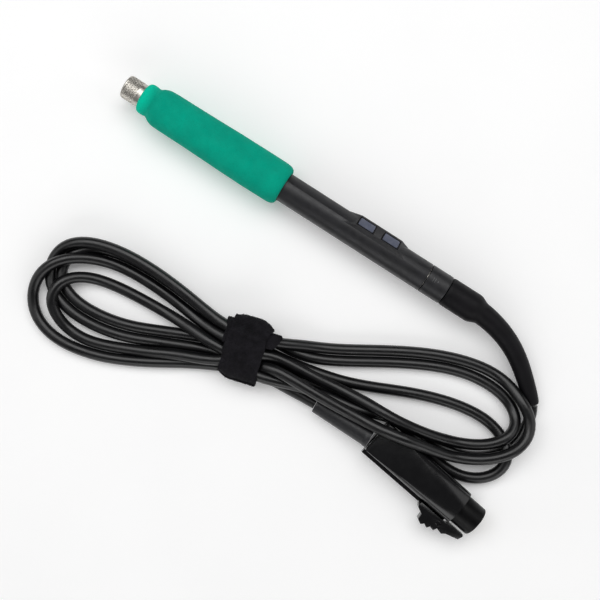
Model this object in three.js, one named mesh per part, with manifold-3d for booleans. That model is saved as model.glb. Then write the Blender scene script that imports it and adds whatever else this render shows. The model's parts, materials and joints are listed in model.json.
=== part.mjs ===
// Soldering handle for plug-in heating cartridges, with a foam grip, two push buttons, a moulded cable boot,
// a tied hank of cable and a latching round connector. Millimetres, +Z up, handle lying along X on the table.
import * as THREE from "three";
import { mergeVertices } from "three/addons/utils/BufferGeometryUtils.js";
import Module from "manifold-3d";

const wasm = await Module();
wasm.setup();

// ---------------------------------------------------------------- driving dimensions
const GAP = 0.3; // clearance left between pieces that touch
const HANDLE_LENGTH = 158.5; // front of the ferrule to the back of the collar
const FRONT = -HANDLE_LENGTH / 2;
const GRIP_RADIUS = 9.15; // widest point of the foam, so the height of the handle's axis
const GRIP_FRONT_RADIUS = 8.5;
const GRIP_START = 7.6;
const GRIP_END = 78.4;
const LIP_RADIUS = 6.85;
const LIP_END = 13.2;
const FERRULE_RADIUS = 5.25;
const FERRULE_END = 20;
const SOCKET_BORE_RADIUS = 3.3;
const TUBE_RADIUS = 6.3;
const TUBE_BORE_RADIUS = 5.1;
const TUBE_START = 14.2;
const TUBE_END = 148.3;
const DECK_TILT = -Math.PI / 4; // the button deck faces up and to the side
const DECK_HEIGHT = 6.7;
const DECK_HALF_WIDTH = 3.85;
const DECK_START = 112.4;
const DECK_STOP = 131.9;
const BUTTON_STATIONS = { front: 116.1, rear: 127.9 };
const BUTTON_SIZE = { long: 7.1, wide: 4.5, top: 6.95, bottom: 5.2 };
const BUTTON_CLEARANCE = 0.2;
const CORD_RADIUS = 2.4;
const CORD_SIDES = 10;
const BOOT_RADIUS = 6.3;
const BOOT_TIP_RADIUS = 3.25;
const STRAP = { x: 21.75, y: -67.2, turn: 0.304, width: 19, halfAcross: 13, height: 12.6, thick: 1.2 };
const HANK_HEIGHT = 11;
const CONNECTOR = { x: 132.6, y: -73.5, z: 7, turn: -0.1466 };
const NOSE_RADIUS = 6.6;
const NOSE_LENGTH = 10;
const SHELL_LENGTH = 45.4;
const SHELL_WALL = 1.5;
const LATCH_PIVOT = { u: -2, v: -10.6 };

// ---------------------------------------------------------------- finishes
const finish = (color, roughness, metalness = 0) =>
  new THREE.MeshStandardMaterial({ color, roughness, metalness });
const FINISH = {
  steel: finish(0xb9bab8, 0.35, 0.9),
  foam: finish(0x08987a, 0.9),
  housing: finish(0x1b1c1e, 0.5),
  button: finish(0x5a6074, 0.55),
  rubber: finish(0x17181a, 0.65),
  cord: finish(0x18191b, 0.4),
  strap: finish(0x141416, 0.95),
  gloss: finish(0x121314, 0.25),
  brass: finish(0xc9a24a, 0.3, 0.9),
  board: finish(0x1e5b3a, 0.6),
  insulator: finish(0xd8d4c8, 0.6),
  copper: finish(0xb8673a, 0.4, 0.6),
};

// ---------------------------------------------------------------- solids and placing
// A closed geometry as a manifold solid.
function solid(geometry) {
  const bare = geometry.clone();
  bare.deleteAttribute("normal");
  bare.deleteAttribute("uv");
  const merged = mergeVertices(bare, 1e-4);
  return new wasm.Manifold(
    new wasm.Mesh({
      numProp: 3,
      vertProperties: new Float32Array(merged.attributes.position.array),
      triVerts: new Uint32Array(merged.index.array),
    }),
  );
}

// A manifold solid back as a geometry.
function geometryOf(made) {
  const out = made.getMesh();
  const geometry = new THREE.BufferGeometry();
  geometry.setAttribute("position", new THREE.BufferAttribute(out.vertProperties, 3));
  geometry.setIndex(new THREE.BufferAttribute(out.triVerts, 1));
  geometry.computeVertexNormals();
  return geometry;
}

// A turned piece about the X axis from an [x, radius] profile, listed anticlockwise with x to the right.
function turned(profile, sides = 32) {
  const points = profile.map(([x, radius]) => new THREE.Vector2(radius, x)).reverse();
  return new THREE.LatheGeometry(points, sides).rotateZ(-Math.PI / 2);
}

// A plain tube about X with an outer and an inner radius.
function ring(start, end, outer, inner, sides = 24) {
  return turned([[start, inner], [end, inner], [end, outer], [start, outer], [start, inner]], sides);
}

// A plain rod about X.
function rod(start, end, radius, sides = 16) {
  return turned([[end, 0], [end, radius], [start, radius], [start, 0]], sides);
}

function box(x0, x1, y0, y1, z0, z1) {
  const geometry = new THREE.BoxGeometry(x1 - x0, y1 - y0, z1 - z0);
  return geometry.translate((x0 + x1) / 2, (y0 + y1) / 2, (z0 + z1) / 2);
}

// A section drawn in (y, z), pushed along X from x0 to x1.
function alongX(shape, x0, x1) {
  const geometry = new THREE.ExtrudeGeometry(shape, { depth: x1 - x0, bevelEnabled: false, curveSegments: 8 });
  const turn = new THREE.Matrix4().makeBasis(
    new THREE.Vector3(0, 1, 0),
    new THREE.Vector3(0, 0, 1),
    new THREE.Vector3(1, 0, 0),
  );
  return geometry.applyMatrix4(turn).translate(x0, 0, 0);
}

// A side outline drawn in (x, z), pushed along Y from y0 to y1.
function alongY(shape, y0, y1) {
  const geometry = new THREE.ExtrudeGeometry(shape, { depth: y1 - y0, bevelEnabled: false, curveSegments: 8 });
  return geometry.rotateX(Math.PI / 2).translate(0, y1, 0);
}

// A plan outline drawn in (x, y), raised from z0 to z1.
function alongZ(shape, z0, z1, bevel = 0) {
  const options = {
    depth: z1 - z0 - 2 * bevel,
    bevelEnabled: bevel > 0,
    bevelThickness: bevel,
    bevelSize: bevel,
    bevelOffset: -bevel,
    bevelSegments: 3,
    curveSegments: 8,
  };
  return new THREE.ExtrudeGeometry(shape, options).translate(0, 0, z0 + bevel);
}

function polygon(points) {
  return new THREE.Shape(points.map(([x, y]) => new THREE.Vector2(x, y)));
}

// A rectangle with round corners, centred on (cx, cy).
function roundedRectangle(cx, cy, halfX, halfY, radius, PathClass = THREE.Shape) {
  const path = new PathClass();
  const corners = [[1, -1, -Math.PI / 2], [1, 1, 0], [-1, 1, Math.PI / 2], [-1, -1, Math.PI]];
  for (const [sx, sy, start] of corners) {
    path.absarc(cx + sx * (halfX - radius), cy + sy * (halfY - radius), radius, start, start + Math.PI / 2);
  }
  path.closePath();
  return path;
}

// A round cable of one radius through hand-set points.
function cable(points, radius, sides, steps) {
  const curve = new THREE.CatmullRomCurve3(points.map((p) => new THREE.Vector3(...p)), false, "centripetal");
  const section = new THREE.Shape();
  for (let i = 0; i < sides; i++) {
    const angle = (i / sides) * 2 * Math.PI;
    const x = radius * Math.cos(angle);
    const y = radius * Math.sin(angle);
    if (i === 0) section.moveTo(x, y);
    else section.lineTo(x, y);
  }
  section.closePath();
  return new THREE.ExtrudeGeometry(section, { steps, extrudePath: curve, bevelEnabled: false });
}

function add(parent, name, shape, material) {
  const geometry = shape instanceof THREE.BufferGeometry ? shape : geometryOf(shape);
  const mesh = new THREE.Mesh(geometry, material);
  mesh.name = name;
  parent.add(mesh);
  return mesh;
}

// ---------------------------------------------------------------- frame of the object
const object = new THREE.Group();
const handle = new THREE.Group(); // x runs from the ferrule's front face, the axis is z = 0
handle.position.set(FRONT, 0, GRIP_RADIUS);
const deck = new THREE.Group(); // +Z is the way the buttons face
deck.rotation.x = DECK_TILT;
handle.add(deck);
const connector = new THREE.Group(); // origin where the nose leaves the shell, +X towards the nose
connector.position.set(CONNECTOR.x, CONNECTOR.y, CONNECTOR.z);
connector.rotation.z = CONNECTOR.turn;
object.add(handle, connector);

// ---------------------------------------------------------------- handle
function frontFerrule() {
  const seat = TUBE_BORE_RADIUS - GAP;
  return turned([
    [FERRULE_END, SOCKET_BORE_RADIUS],
    [FERRULE_END, seat],
    [TUBE_START - GAP, seat],
    [TUBE_START - GAP, FERRULE_RADIUS - 0.15],
    [7, FERRULE_RADIUS - 0.15],
    [6.4, FERRULE_RADIUS],
    [0.5, FERRULE_RADIUS],
    [0, FERRULE_RADIUS - 0.4],
    [0, SOCKET_BORE_RADIUS + 0.4],
    [0.5, SOCKET_BORE_RADIUS],
    [FERRULE_END, SOCKET_BORE_RADIUS],
  ], 32);
}

function gripSleeve() {
  const neck = FERRULE_RADIUS + GAP;
  const bore = TUBE_RADIUS + GAP;
  return turned([
    [GRIP_START, neck],
    [TUBE_START - GAP, neck],
    [TUBE_START - GAP, bore],
    [GRIP_END, bore],
    [GRIP_END, GRIP_RADIUS - 1.7],
    [GRIP_END - 0.7, GRIP_RADIUS - 0.6],
    [GRIP_END - 2.2, GRIP_RADIUS],
    [52, GRIP_RADIUS - 0.1],
    [30, GRIP_FRONT_RADIUS + 0.1],
    [18.5, GRIP_FRONT_RADIUS],
    [15.6, GRIP_FRONT_RADIUS - 0.5],
    [LIP_END + 0.7, LIP_RADIUS + 0.2],
    [LIP_END, LIP_RADIUS - 0.35],
    [LIP_END - 0.9, LIP_RADIUS],
    [GRIP_START + 1.2, LIP_RADIUS],
    [GRIP_START, LIP_RADIUS - 0.9],
    [GRIP_START, neck],
  ], 40);
}

function handleTube() {
  const barrel = solid(rod(TUBE_START, TUBE_END, TUBE_RADIUS, 40));
  const bore = solid(rod(TUBE_START - 1, TUBE_END + 1, TUBE_BORE_RADIUS, 32));
  const side = polygon([
    [DECK_START - 8, 4.2],
    [DECK_STOP + 6, 4.2],
    [DECK_STOP, DECK_HEIGHT],
    [DECK_START, DECK_HEIGHT],
  ]);
  const block = solid(alongY(side, -DECK_HALF_WIDTH, DECK_HALF_WIDTH));
  let made = barrel.add(block.rotate([(DECK_TILT * 180) / Math.PI, 0, 0])).subtract(bore);
  for (const station of Object.values(BUTTON_STATIONS)) {
    const halfLong = BUTTON_SIZE.long / 2 + BUTTON_CLEARANCE;
    const halfWide = BUTTON_SIZE.wide / 2 + BUTTON_CLEARANCE;
    const well = solid(box(station - halfLong, station + halfLong, -halfWide, halfWide, 3, 9));
    made = made.subtract(well.rotate([(DECK_TILT * 180) / Math.PI, 0, 0]));
  }
  return made;
}

// A cap with softened top edges and a shallow finger dish.
function buttonCap(station) {
  const { long, wide, top, bottom } = BUTTON_SIZE;
  const outline = roundedRectangle(station, 0, long / 2, wide / 2, 0.5);
  const cap = solid(alongZ(outline, bottom, top, 0.3));
  const dishRadius = 22;
  const dish = solid(
    new THREE.CylinderGeometry(dishRadius, dishRadius, wide * 2, 96)
      .translate(station, 0, top + dishRadius - 0.2),
  );
  return cap.subtract(dish);
}

function switchBody(station) {
  const body = solid(box(station - 2.8, station + 2.8, -2.1, 2.1, 2.5, 4.2));
  const well = solid(new THREE.CylinderGeometry(1.3, 1.3, 4, 16).rotateX(Math.PI / 2).translate(station, 0, 5));
  return body.subtract(well);
}

function switchPlunger(station) {
  return new THREE.CylinderGeometry(1, 1, 1.4, 16).rotateX(Math.PI / 2).translate(station, 0, 4.2);
}

function switchBoard() {
  const outline = roundedRectangle(122, 0, 14, 4.1, 0.8);
  return alongZ(outline, 1.2, 2.2);
}

function rearCollar() {
  const start = TUBE_END + GAP;
  const seam = 0.25;
  return turned([
    [HANDLE_LENGTH, TUBE_BORE_RADIUS],
    [HANDLE_LENGTH, BOOT_RADIUS - seam],
    [HANDLE_LENGTH - 0.4, BOOT_RADIUS],
    [start + 0.4, BOOT_RADIUS],
    [start, BOOT_RADIUS - seam],
    [start, TUBE_BORE_RADIUS],
    [HANDLE_LENGTH, TUBE_BORE_RADIUS],
  ], 40);
}

function buildHandle() {
  add(handle, "front_ferrule", frontFerrule(), FINISH.steel);
  add(handle, "grip_sleeve", gripSleeve(), FINISH.foam);
  add(handle, "handle_tube", handleTube(), FINISH.housing);
  add(handle, "socket_tube", ring(FERRULE_END + GAP, 100, 4.6, 3.4, 24), FINISH.steel);
  add(handle, "guide_bush", ring(66, 69, 3.1, 2.4, 20), FINISH.insulator);
  add(handle, "contact_ring", ring(72, 77, 3.1, 2.2, 20), FINISH.brass);
  add(handle, "contact_insulator", ring(86, 91, 3.1, 1.2, 20), FINISH.insulator);
  add(handle, "centre_contact", rod(80, 95, 0.9, 12), FINISH.brass);
  add(handle, "socket_end_plug", rod(100 + GAP, 104, 4.6, 24), FINISH.insulator);
  for (const [name, y] of [["power_wire", -2], ["sensor_wire", 0], ["earth_wire", 2]]) {
    const route = [[104.4, y, -1.5], [112, y, -2.2], [130, y, -2.4], [148, y * 0.8, -1.6], [158, y * 0.6, -0.6]];
    add(deck, name, cable(route, 0.65, 8, 12), FINISH.copper);
  }
  add(deck, "switch_board", switchBoard(), FINISH.board);
  for (const [place, station] of Object.entries(BUTTON_STATIONS)) {
    add(deck, `${place}_switch`, switchBody(station), FINISH.housing);
    add(deck, `${place}_plunger`, switchPlunger(station), FINISH.housing);
    add(deck, `${place}_button`, buttonCap(station), FINISH.button);
  }
  add(handle, "rear_collar", rearCollar(), FINISH.housing);
  add(handle, "bayonet_sleeve", ring(141, HANDLE_LENGTH - 0.1, TUBE_BORE_RADIUS - GAP, 3.9, 24), FINISH.steel);
}

// ---------------------------------------------------------------- cable boot
const BOOT_ROUTE = [
  [79.6, 0, GRIP_RADIUS],
  [87, 0, GRIP_RADIUS],
  [94.4, 0, GRIP_RADIUS - 0.1],
  [99, -0.2, 8.9],
  [105, -1.2, 8.3],
  [111, -2.9, 7.5],
  [117, -5.5, 6.5],
  [122.6, -8.9, 5.6],
  [127.8, -12.8, 4.7],
  [132.6, -16.8, 4],
  [136.6, -20.6, 3.5],
];

// Outer radius of the boot at a share of its length: a straight socket, a shoulder, then a long taper.
function bootRadius(share) {
  const shoulderStart = 0.205;
  const shoulderEnd = 0.3;
  const neck = 4.75;
  if (share <= shoulderStart) return BOOT_RADIUS;
  if (share < shoulderEnd) {
    const t = (share - shoulderStart) / (shoulderEnd - shoulderStart);
    return BOOT_RADIUS + (neck - BOOT_RADIUS) * t * t * (3 - 2 * t);
  }
  return neck + ((BOOT_TIP_RADIUS - neck) * (share - shoulderEnd)) / (1 - shoulderEnd);
}

// A swept body whose section is a circle that shrinks along the route.
function sweptTaper(route, radiusAt, sides, steps) {
  const curve = new THREE.CatmullRomCurve3(route.map((p) => new THREE.Vector3(...p)), false, "centripetal");
  const positions = [];
  const index = [];
  for (let i = 0; i <= steps; i++) {
    const share = i / steps;
    const centre = curve.getPointAt(share);
    const along = curve.getTangentAt(share);
    const side = new THREE.Vector3(0, 0, 1).cross(along).normalize();
    const up = along.clone().cross(side);
    for (let j = 0; j < sides; j++) {
      const angle = (j / sides) * 2 * Math.PI;
      const offset = side.clone().multiplyScalar(Math.cos(angle)).addScaledVector(up, Math.sin(angle));
      positions.push(...centre.clone().addScaledVector(offset, radiusAt(share)).toArray());
    }
  }
  for (let i = 0; i < steps; i++) {
    for (let j = 0; j < sides; j++) {
      const a = i * sides + j;
      const b = i * sides + ((j + 1) % sides);
      index.push(a, b, b + sides, a, b + sides, a + sides);
    }
  }
  const last = steps * sides;
  for (let j = 1; j < sides - 1; j++) {
    index.push(0, j + 1, j, last, last + j, last + j + 1);
  }
  const geometry = new THREE.BufferGeometry();
  geometry.setAttribute("position", new THREE.Float32BufferAttribute(positions, 3));
  geometry.setIndex(index);
  return geometry;
}

function buildBoot() {
  add(object, "cable_boot", sweptTaper(BOOT_ROUTE, bootRadius, 24, 28), FINISH.rubber);
}

// ---------------------------------------------------------------- cord
const LEAD_ROUTE = [
  [136.95, -20.95, 3.4],
  [138.3, -22.9, 3],
  [139.3, -25.2, 2.6],
  [139.8, -27.6, 2.45],
  [139.9, -30, 2.42],
];
const TAIL_ROUTE = [
  [37.4, -71.2, 2.42],
  [42, -70.9, 2.5],
  [47, -70.5, 2.8],
  [53, -70, 3.3],
  [59.2, -69.6, 3.9],
];
// Plan outline of the tied hank: left lobe, waist inside the strap, right lobe.
const HANK_OUTLINE = [
  [9, -59.2], [-10, -57.8], [-39, -57.2], [-52, -60], [-62, -64.4], [-69, -71.2], [-71.4, -79.5],
  [-70, -90], [-66.6, -97.6], [-60.5, -103.8], [-51, -107], [-38.4, -106.8], [-23.5, -101.8],
  [-10.6, -93.3], [4, -86.3], [16.4, -80.6],
];
const HANK_RIGHT = [
  [34.2, -75.2], [37, -74.6], [37, -68.2], [56.5, -66.6], [60, -65.2], [86.9, -63.2], [88.2, -58.4],
  [124.6, -63.6], [130.6, -63],
  [136.6, -59.6], [141, -55], [143, -49], [142.4, -43], [143.4, -36], [143.4, -30.3], [134.2, -30.3],
  [130.5, -24.6], [125.5, -19.4], [117.2, -16.4], [107.5, -16.9], [98.9, -19.2], [87, -24.3], [67.2, -34.9],
  [49.7, -46.3], [27.6, -53.8],
];

function cordHank() {
  const body = solid(alongZ(polygon([...HANK_OUTLINE, ...HANK_RIGHT].reverse()), 0, HANK_HEIGHT, 1.2));
  const bandHalf = STRAP.width / 2 + GAP;
  const under = solid(box(-bandHalf, bandHalf, -16, 16, -1, STRAP.thick + GAP));
  const sides = [1, -1].map((side) => {
    const inner = STRAP.halfAcross - STRAP.thick - GAP;
    return solid(box(-bandHalf, bandHalf, side > 0 ? inner : -20, side > 0 ? 20 : -inner, -1, 20));
  });
  let made = body;
  for (const cut of [under, ...sides]) {
    made = made.subtract(cut.rotate([0, 0, (STRAP.turn * 180) / Math.PI]).translate([STRAP.x, STRAP.y, 0]));
  }
  return made;
}

function cableStrap() {
  const middle = STRAP.height / 2;
  const outer = roundedRectangle(0, middle, STRAP.halfAcross, middle, 2.6);
  const { thick, halfAcross } = STRAP;
  outer.holes.push(roundedRectangle(0, middle, halfAcross - thick, middle - thick, 0.5, THREE.Path));
  return alongX(outer, -STRAP.width / 2, STRAP.width / 2);
}

function buildCord() {
  add(object, "cord_lead", cable(LEAD_ROUTE, CORD_RADIUS, CORD_SIDES, 6), FINISH.cord);
  add(object, "cord_hank", cordHank(), FINISH.cord);
  add(object, "cord_tail", cable(TAIL_ROUTE, CORD_RADIUS, CORD_SIDES, 10), FINISH.cord);
  const strap = add(object, "cable_strap", cableStrap(), FINISH.strap);
  strap.rotation.z = STRAP.turn;
  strap.position.set(STRAP.x, STRAP.y, 0);
}

// ---------------------------------------------------------------- connector
const SLEEVE_START = new THREE.Vector3(59.6, -69.55, 3.95);
const SLEEVE_END = new THREE.Vector3(86.2, -68.85, 6.9);

function connectorSleeve() {
  const length = SLEEVE_START.distanceTo(SLEEVE_END);
  const shape = turned([
    [length, 0],
    [length, 4.7],
    [length - 1.5, 4.7],
    [length - 2, 4.5],
    [1, 3.75],
    [0, 3.4],
    [0, 0],
  ], 24);
  const along = SLEEVE_END.clone().sub(SLEEVE_START).normalize();
  const turn = new THREE.Quaternion().setFromUnitVectors(new THREE.Vector3(1, 0, 0), along);
  return shape.applyQuaternion(turn).translate(...SLEEVE_START.toArray());
}

// A turned piece from a [z, radius] profile, standing upright at (u, v).
function upright(profile, u, v, sides = 16) {
  return turned(profile, sides).rotateY(-Math.PI / 2).translate(u, v, 0);
}

function post(u, v, radius, z0, z1, sides = 16) {
  return upright([[z1, 0], [z1, radius], [z0, radius], [z0, 0]], u, v, sides);
}

const SCREW_STATIONS = [-23.5, -12];
const CABLE_OFFSET = -1.6; // the cable enters beside the nose's axis

// Round-bellied lower half in section (v, z), with a wider left side that carries the latch.
function lowerSection(inset) {
  const r = 7 - inset;
  const shape = new THREE.Shape();
  shape.moveTo(7.8 - inset, 0);
  shape.lineTo(-9.2 + inset, 0);
  shape.lineTo(-9.2 + inset, -3.4 + inset);
  shape.absarc(0, 0, r, Math.PI + 0.62, 2 * Math.PI - 0.35);
  shape.lineTo(7.8 - inset, -1.6);
  shape.closePath();
  return shape;
}

function lowerShell() {
  const outer = solid(alongX(lowerSection(0), -SHELL_LENGTH, 0));
  const ear = solid(box(-4.6, 0, -12.4, -4, -5.2, -3.2));
  const cavity = solid(alongX(lowerSection(SHELL_WALL), -SHELL_LENGTH + SHELL_WALL, -SHELL_WALL).translate(0, 0, 0.01));
  let made = outer.add(ear).subtract(cavity);
  for (const u of SCREW_STATIONS) made = made.add(solid(post(u, 0, 3, -6.5, -0.4)));
  const latchBay = solid(box(-14, 1, -12, -6.9, -3.2, 1));
  const pinHole = solid(post(LATCH_PIVOT.u, LATCH_PIVOT.v, 1.05, -6, -3));
  for (const cut of [openings(), latchBay, pinHole]) made = made.subtract(cut);
  for (const u of SCREW_STATIONS) {
    made = made.subtract(solid(post(u, 0, 1.2, -8, 1))).subtract(solid(post(u, 0, 2.1, -8, -5.6)));
  }
  return made;
}

// The way in for the nose and for the cable, cut alike from both halves.
function openings() {
  const noseHole = solid(rod(-6, 1, NOSE_RADIUS + GAP, 32));
  const cableHole = rod(-SHELL_LENGTH - 1, -SHELL_LENGTH + 3, CORD_RADIUS + GAP, 20).translate(0, CABLE_OFFSET, 0);
  return noseHole.add(solid(cableHole));
}

function coverSection(inset) {
  const shape = new THREE.Shape();
  shape.moveTo(7.8 - inset, GAP);
  shape.lineTo(7.8 - inset, 3.2);
  shape.bezierCurveTo(7.4 - inset, 6.4 - inset, 4.2, 7.6 - inset, 0.2, 7.6 - inset);
  shape.bezierCurveTo(-4, 7.6 - inset, -6.6 + inset, 6.8 - inset, -7.3 + inset, 4.2);
  shape.lineTo(-7.3 + inset, GAP);
  shape.closePath();
  return shape;
}

function connectorCover() {
  const side = polygon([
    [-SHELL_LENGTH, GAP],
    [0, GAP],
    [0, 7.6],
    [-16, 7.4],
    [-SHELL_LENGTH + 1, 4.6],
    [-SHELL_LENGTH, 3.8],
  ]);
  const outer = solid(alongX(coverSection(0), -SHELL_LENGTH, 0)).intersect(solid(alongY(side, -12, 12)));
  const inner = polygon([
    [-SHELL_LENGTH + SHELL_WALL, GAP - 1],
    [-SHELL_WALL, GAP - 1],
    [-SHELL_WALL, 6],
    [-SHELL_LENGTH + SHELL_WALL, 3],
  ]);
  const cavity = solid(alongX(coverSection(SHELL_WALL), -SHELL_LENGTH + SHELL_WALL, -SHELL_WALL).translate(0, 0, -0.05))
    .intersect(solid(alongY(inner, -12, 12)));
  let made = outer.subtract(cavity).subtract(openings());
  for (const u of SCREW_STATIONS) {
    const boss = solid(post(u, 0, 2.4, GAP, 6.2)).intersect(outer);
    made = made.add(boss).subtract(solid(post(u, 0, 1.2, 0, 3)));
  }
  return made;
}

function connectorNose() {
  return turned([
    [-4, 5.4],
    [NOSE_LENGTH, 5.4],
    [NOSE_LENGTH, NOSE_RADIUS - 0.3],
    [NOSE_LENGTH - 0.5, NOSE_RADIUS],
    [-4, NOSE_RADIUS],
    [-4, 5.4],
  ], 40);
}

const CONTACT_CIRCLE = 2.9;
const CONTACT_COUNT = 6;

function contactPlace(index) {
  const angle = ((index + 0.5) / CONTACT_COUNT) * 2 * Math.PI;
  return [CONTACT_CIRCLE * Math.cos(angle), CONTACT_CIRCLE * Math.sin(angle)];
}

function contactInsert() {
  const shape = new THREE.Shape();
  shape.absarc(0, 0, 5.1, 0, 2 * Math.PI);
  for (let i = 0; i < CONTACT_COUNT; i++) {
    const hole = new THREE.Path();
    hole.absarc(...contactPlace(i), 1.1, 0, 2 * Math.PI);
    shape.holes.push(hole);
  }
  return alongX(shape, 2, NOSE_LENGTH - 0.8);
}

// Plan outline of the latch lever: a ribbed thumb pad, the pivot boss and the hooked arm beside the nose.
function latchLever() {
  const outline = polygon([
    [-13.4, -9.8], [-12.7, -10.9], [-9.9, -12.2], [-9.6, -14.7], [-7.5, -15.7], [-6.4, -14.4], [-4.6, -15.2],
    [-3.9, -13.8], [-1.8, -14.2], [-1.1, -12.5], [1.6, -13.1], [3, -11.9], [8.5, -10.3], [9.3, -8.1], [8.9, -7.4],
    [1.3, -7.4], [0.6, -8.4], [-12.9, -8.4],
  ]);
  const hole = new THREE.Path();
  hole.absarc(LATCH_PIVOT.u, LATCH_PIVOT.v, 1.05, 0, 2 * Math.PI);
  outline.holes.push(hole);
  return alongZ(outline, -2.8, 2.4);
}

function latchSpring() {
  const turns = 3;
  const points = [];
  for (let i = 0; i <= turns * 8; i++) {
    const angle = (i / 8) * 2 * Math.PI;
    points.push([-8.4 + 1.1 * Math.cos(angle), -7.75 + (0.63 * i) / (turns * 8), -1.4 + 1.1 * Math.sin(angle)]);
  }
  return cable(points, 0.09, 5, turns * 10);
}

function shellScrew(u) {
  return upright([
    [2.7, 0],
    [2.7, 0.9],
    [-5.9, 0.9],
    [-5.9, 1.8],
    [-6.8, 1.8],
    [-6.8, 0],
  ], u, 0);
}

function cordClamp() {
  const block = solid(box(-33, -29, -5, 3.6, -3, 2.4));
  const way = rod(-34, -28, CORD_RADIUS + GAP, 20).translate(0, CABLE_OFFSET, 0);
  return block.subtract(solid(way));
}

function buildConnector() {
  add(object, "connector_sleeve", connectorSleeve(), FINISH.rubber);
  add(connector, "connector_lower_shell", lowerShell(), FINISH.gloss);
  add(connector, "connector_cover", connectorCover(), FINISH.gloss);
  add(connector, "connector_nose", connectorNose(), FINISH.gloss);
  add(connector, "contact_insert", contactInsert(), FINISH.insulator);
  for (let i = 0; i < CONTACT_COUNT; i++) {
    const [y, z] = contactPlace(i);
    add(connector, `contact_${i + 1}`, rod(0.5, NOSE_LENGTH - 1.6, 0.75, 10).translate(0, y, z), FINISH.brass);
  }
  const cableEnd = rod(-SHELL_LENGTH, -27, CORD_RADIUS, 16).translate(0, CABLE_OFFSET, 0);
  add(connector, "cable_end", cableEnd, FINISH.cord);
  add(connector, "cord_clamp", cordClamp(), FINISH.insulator);
  SCREW_STATIONS.forEach((u, i) => add(connector, `shell_screw_${i + 1}`, shellScrew(u), FINISH.steel));
  add(connector, "latch_lever", latchLever(), FINISH.gloss);
  add(connector, "latch_pin", post(LATCH_PIVOT.u, LATCH_PIVOT.v, 0.75, -5, 2.2), FINISH.steel);
  add(connector, "latch_spring", latchSpring(), FINISH.steel);
}

buildHandle();
buildBoot();
buildCord();
buildConnector();

export default object;
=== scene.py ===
"""Looks of a soldering handle: foam grip, two buttons, a tied hank of cable and a latching connector."""
import json
import math

import bmesh
import bpy
import numpy as np
from mathutils import Matrix, Vector
from mathutils.bvhtree import BVHTree
from mathutils.noise import noise as perlin

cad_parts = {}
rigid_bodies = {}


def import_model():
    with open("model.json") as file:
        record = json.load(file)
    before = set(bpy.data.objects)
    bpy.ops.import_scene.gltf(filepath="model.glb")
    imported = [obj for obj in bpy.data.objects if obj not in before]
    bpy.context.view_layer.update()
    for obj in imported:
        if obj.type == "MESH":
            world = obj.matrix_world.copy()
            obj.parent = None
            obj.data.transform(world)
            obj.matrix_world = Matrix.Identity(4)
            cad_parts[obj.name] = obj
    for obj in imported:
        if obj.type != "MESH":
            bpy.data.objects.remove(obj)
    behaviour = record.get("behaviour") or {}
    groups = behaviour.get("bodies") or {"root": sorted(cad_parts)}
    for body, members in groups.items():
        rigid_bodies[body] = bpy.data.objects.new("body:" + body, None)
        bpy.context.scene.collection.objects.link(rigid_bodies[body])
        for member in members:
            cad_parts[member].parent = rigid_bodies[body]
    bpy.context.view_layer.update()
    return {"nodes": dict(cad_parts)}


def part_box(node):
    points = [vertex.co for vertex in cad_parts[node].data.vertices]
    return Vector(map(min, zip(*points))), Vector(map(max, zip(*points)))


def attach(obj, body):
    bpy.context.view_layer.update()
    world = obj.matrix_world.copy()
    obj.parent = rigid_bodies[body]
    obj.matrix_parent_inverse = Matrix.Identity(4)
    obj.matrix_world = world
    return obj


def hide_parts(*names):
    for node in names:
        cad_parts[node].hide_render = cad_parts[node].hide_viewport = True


bl_info = {
    "name": "Soldering handle",
    "version": (1, 0, 0),
    "blender": (4, 5, 0),
    "location": "View3D > Sidebar > Soldering handle",
    "description": "Builds the visible pieces of a soldering handle, its tied cable and its connector",
    "category": "Object",
}

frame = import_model()

MM = 0.001
TAU = 2 * math.pi
WHITE = (1.0, 1.0, 1.0, 1.0)
ROOT = "root"

# ---------------------------------------------------------------- where things are, in millimetres
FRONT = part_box("front_ferrule")[0].x / MM  # x of the ferrule's front face
AXIS_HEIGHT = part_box("grip_sleeve")[1].z / MM / 2  # the grip lies on the table
DECK_TURN = -math.pi / 4
BUTTON_STATIONS = (116.1, 127.9)
CAMERA_AT = (30.1, -36.2, 417.0)
CAMERA_RIGHT = (0.842, 0.539, 0.0)
CAMERA_LENS = 58.57
PLAN_HEIGHT = 7.0  # height at which the cord's plan points are given
STRAP_CENTRE = (21.75, -67.2)
STRAP_TURN = 0.304
CONNECTOR_AT = (132.6, -73.5, 7.0)
CONNECTOR_TURN = -0.1466
FLOOR_HALF = 2500
LIGHTS_AIM = (30, -36, 0)

# ---------------------------------------------------------------- how closely meshes are worked
MERGE_WITHIN = 2e-6  # metres between points that are one
FLAT_WITHIN = math.radians(1.5)  # the most that joined faces may turn
CURVE_STEPS = 24


# ---------------------------------------------------------------- mesh helpers
def handle_point(x, y, z):
    """A point of the handle's own frame, whose x runs back from the ferrule's front, in the row frame."""
    return Vector((FRONT + x, y, AXIS_HEIGHT + z))


def deck_point(x, y, z):
    """A point of the button deck's frame, whose +z is the way the buttons face."""
    turned = Matrix.Rotation(DECK_TURN, 3, "X") @ Vector((x, y, z))
    return handle_point(*turned)


def connector_point(u, v, w):
    """A point of the connector's frame, whose u runs towards its nose."""
    return Vector(CONNECTOR_AT) + Matrix.Rotation(CONNECTOR_TURN, 3, "Z") @ Vector((u, v, w))


def strap_place(along, across, height):
    """A point of the strap's frame, in the row frame."""
    c = math.cos(STRAP_TURN)
    s = math.sin(STRAP_TURN)
    return (STRAP_CENTRE[0] + along * c - across * s, STRAP_CENTRE[1] + along * s + across * c, height)


def new_object(name, mesh=None):
    made = bpy.data.objects.new(name, mesh or bpy.data.meshes.new(name))
    bpy.context.scene.collection.objects.link(made)
    return made


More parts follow.
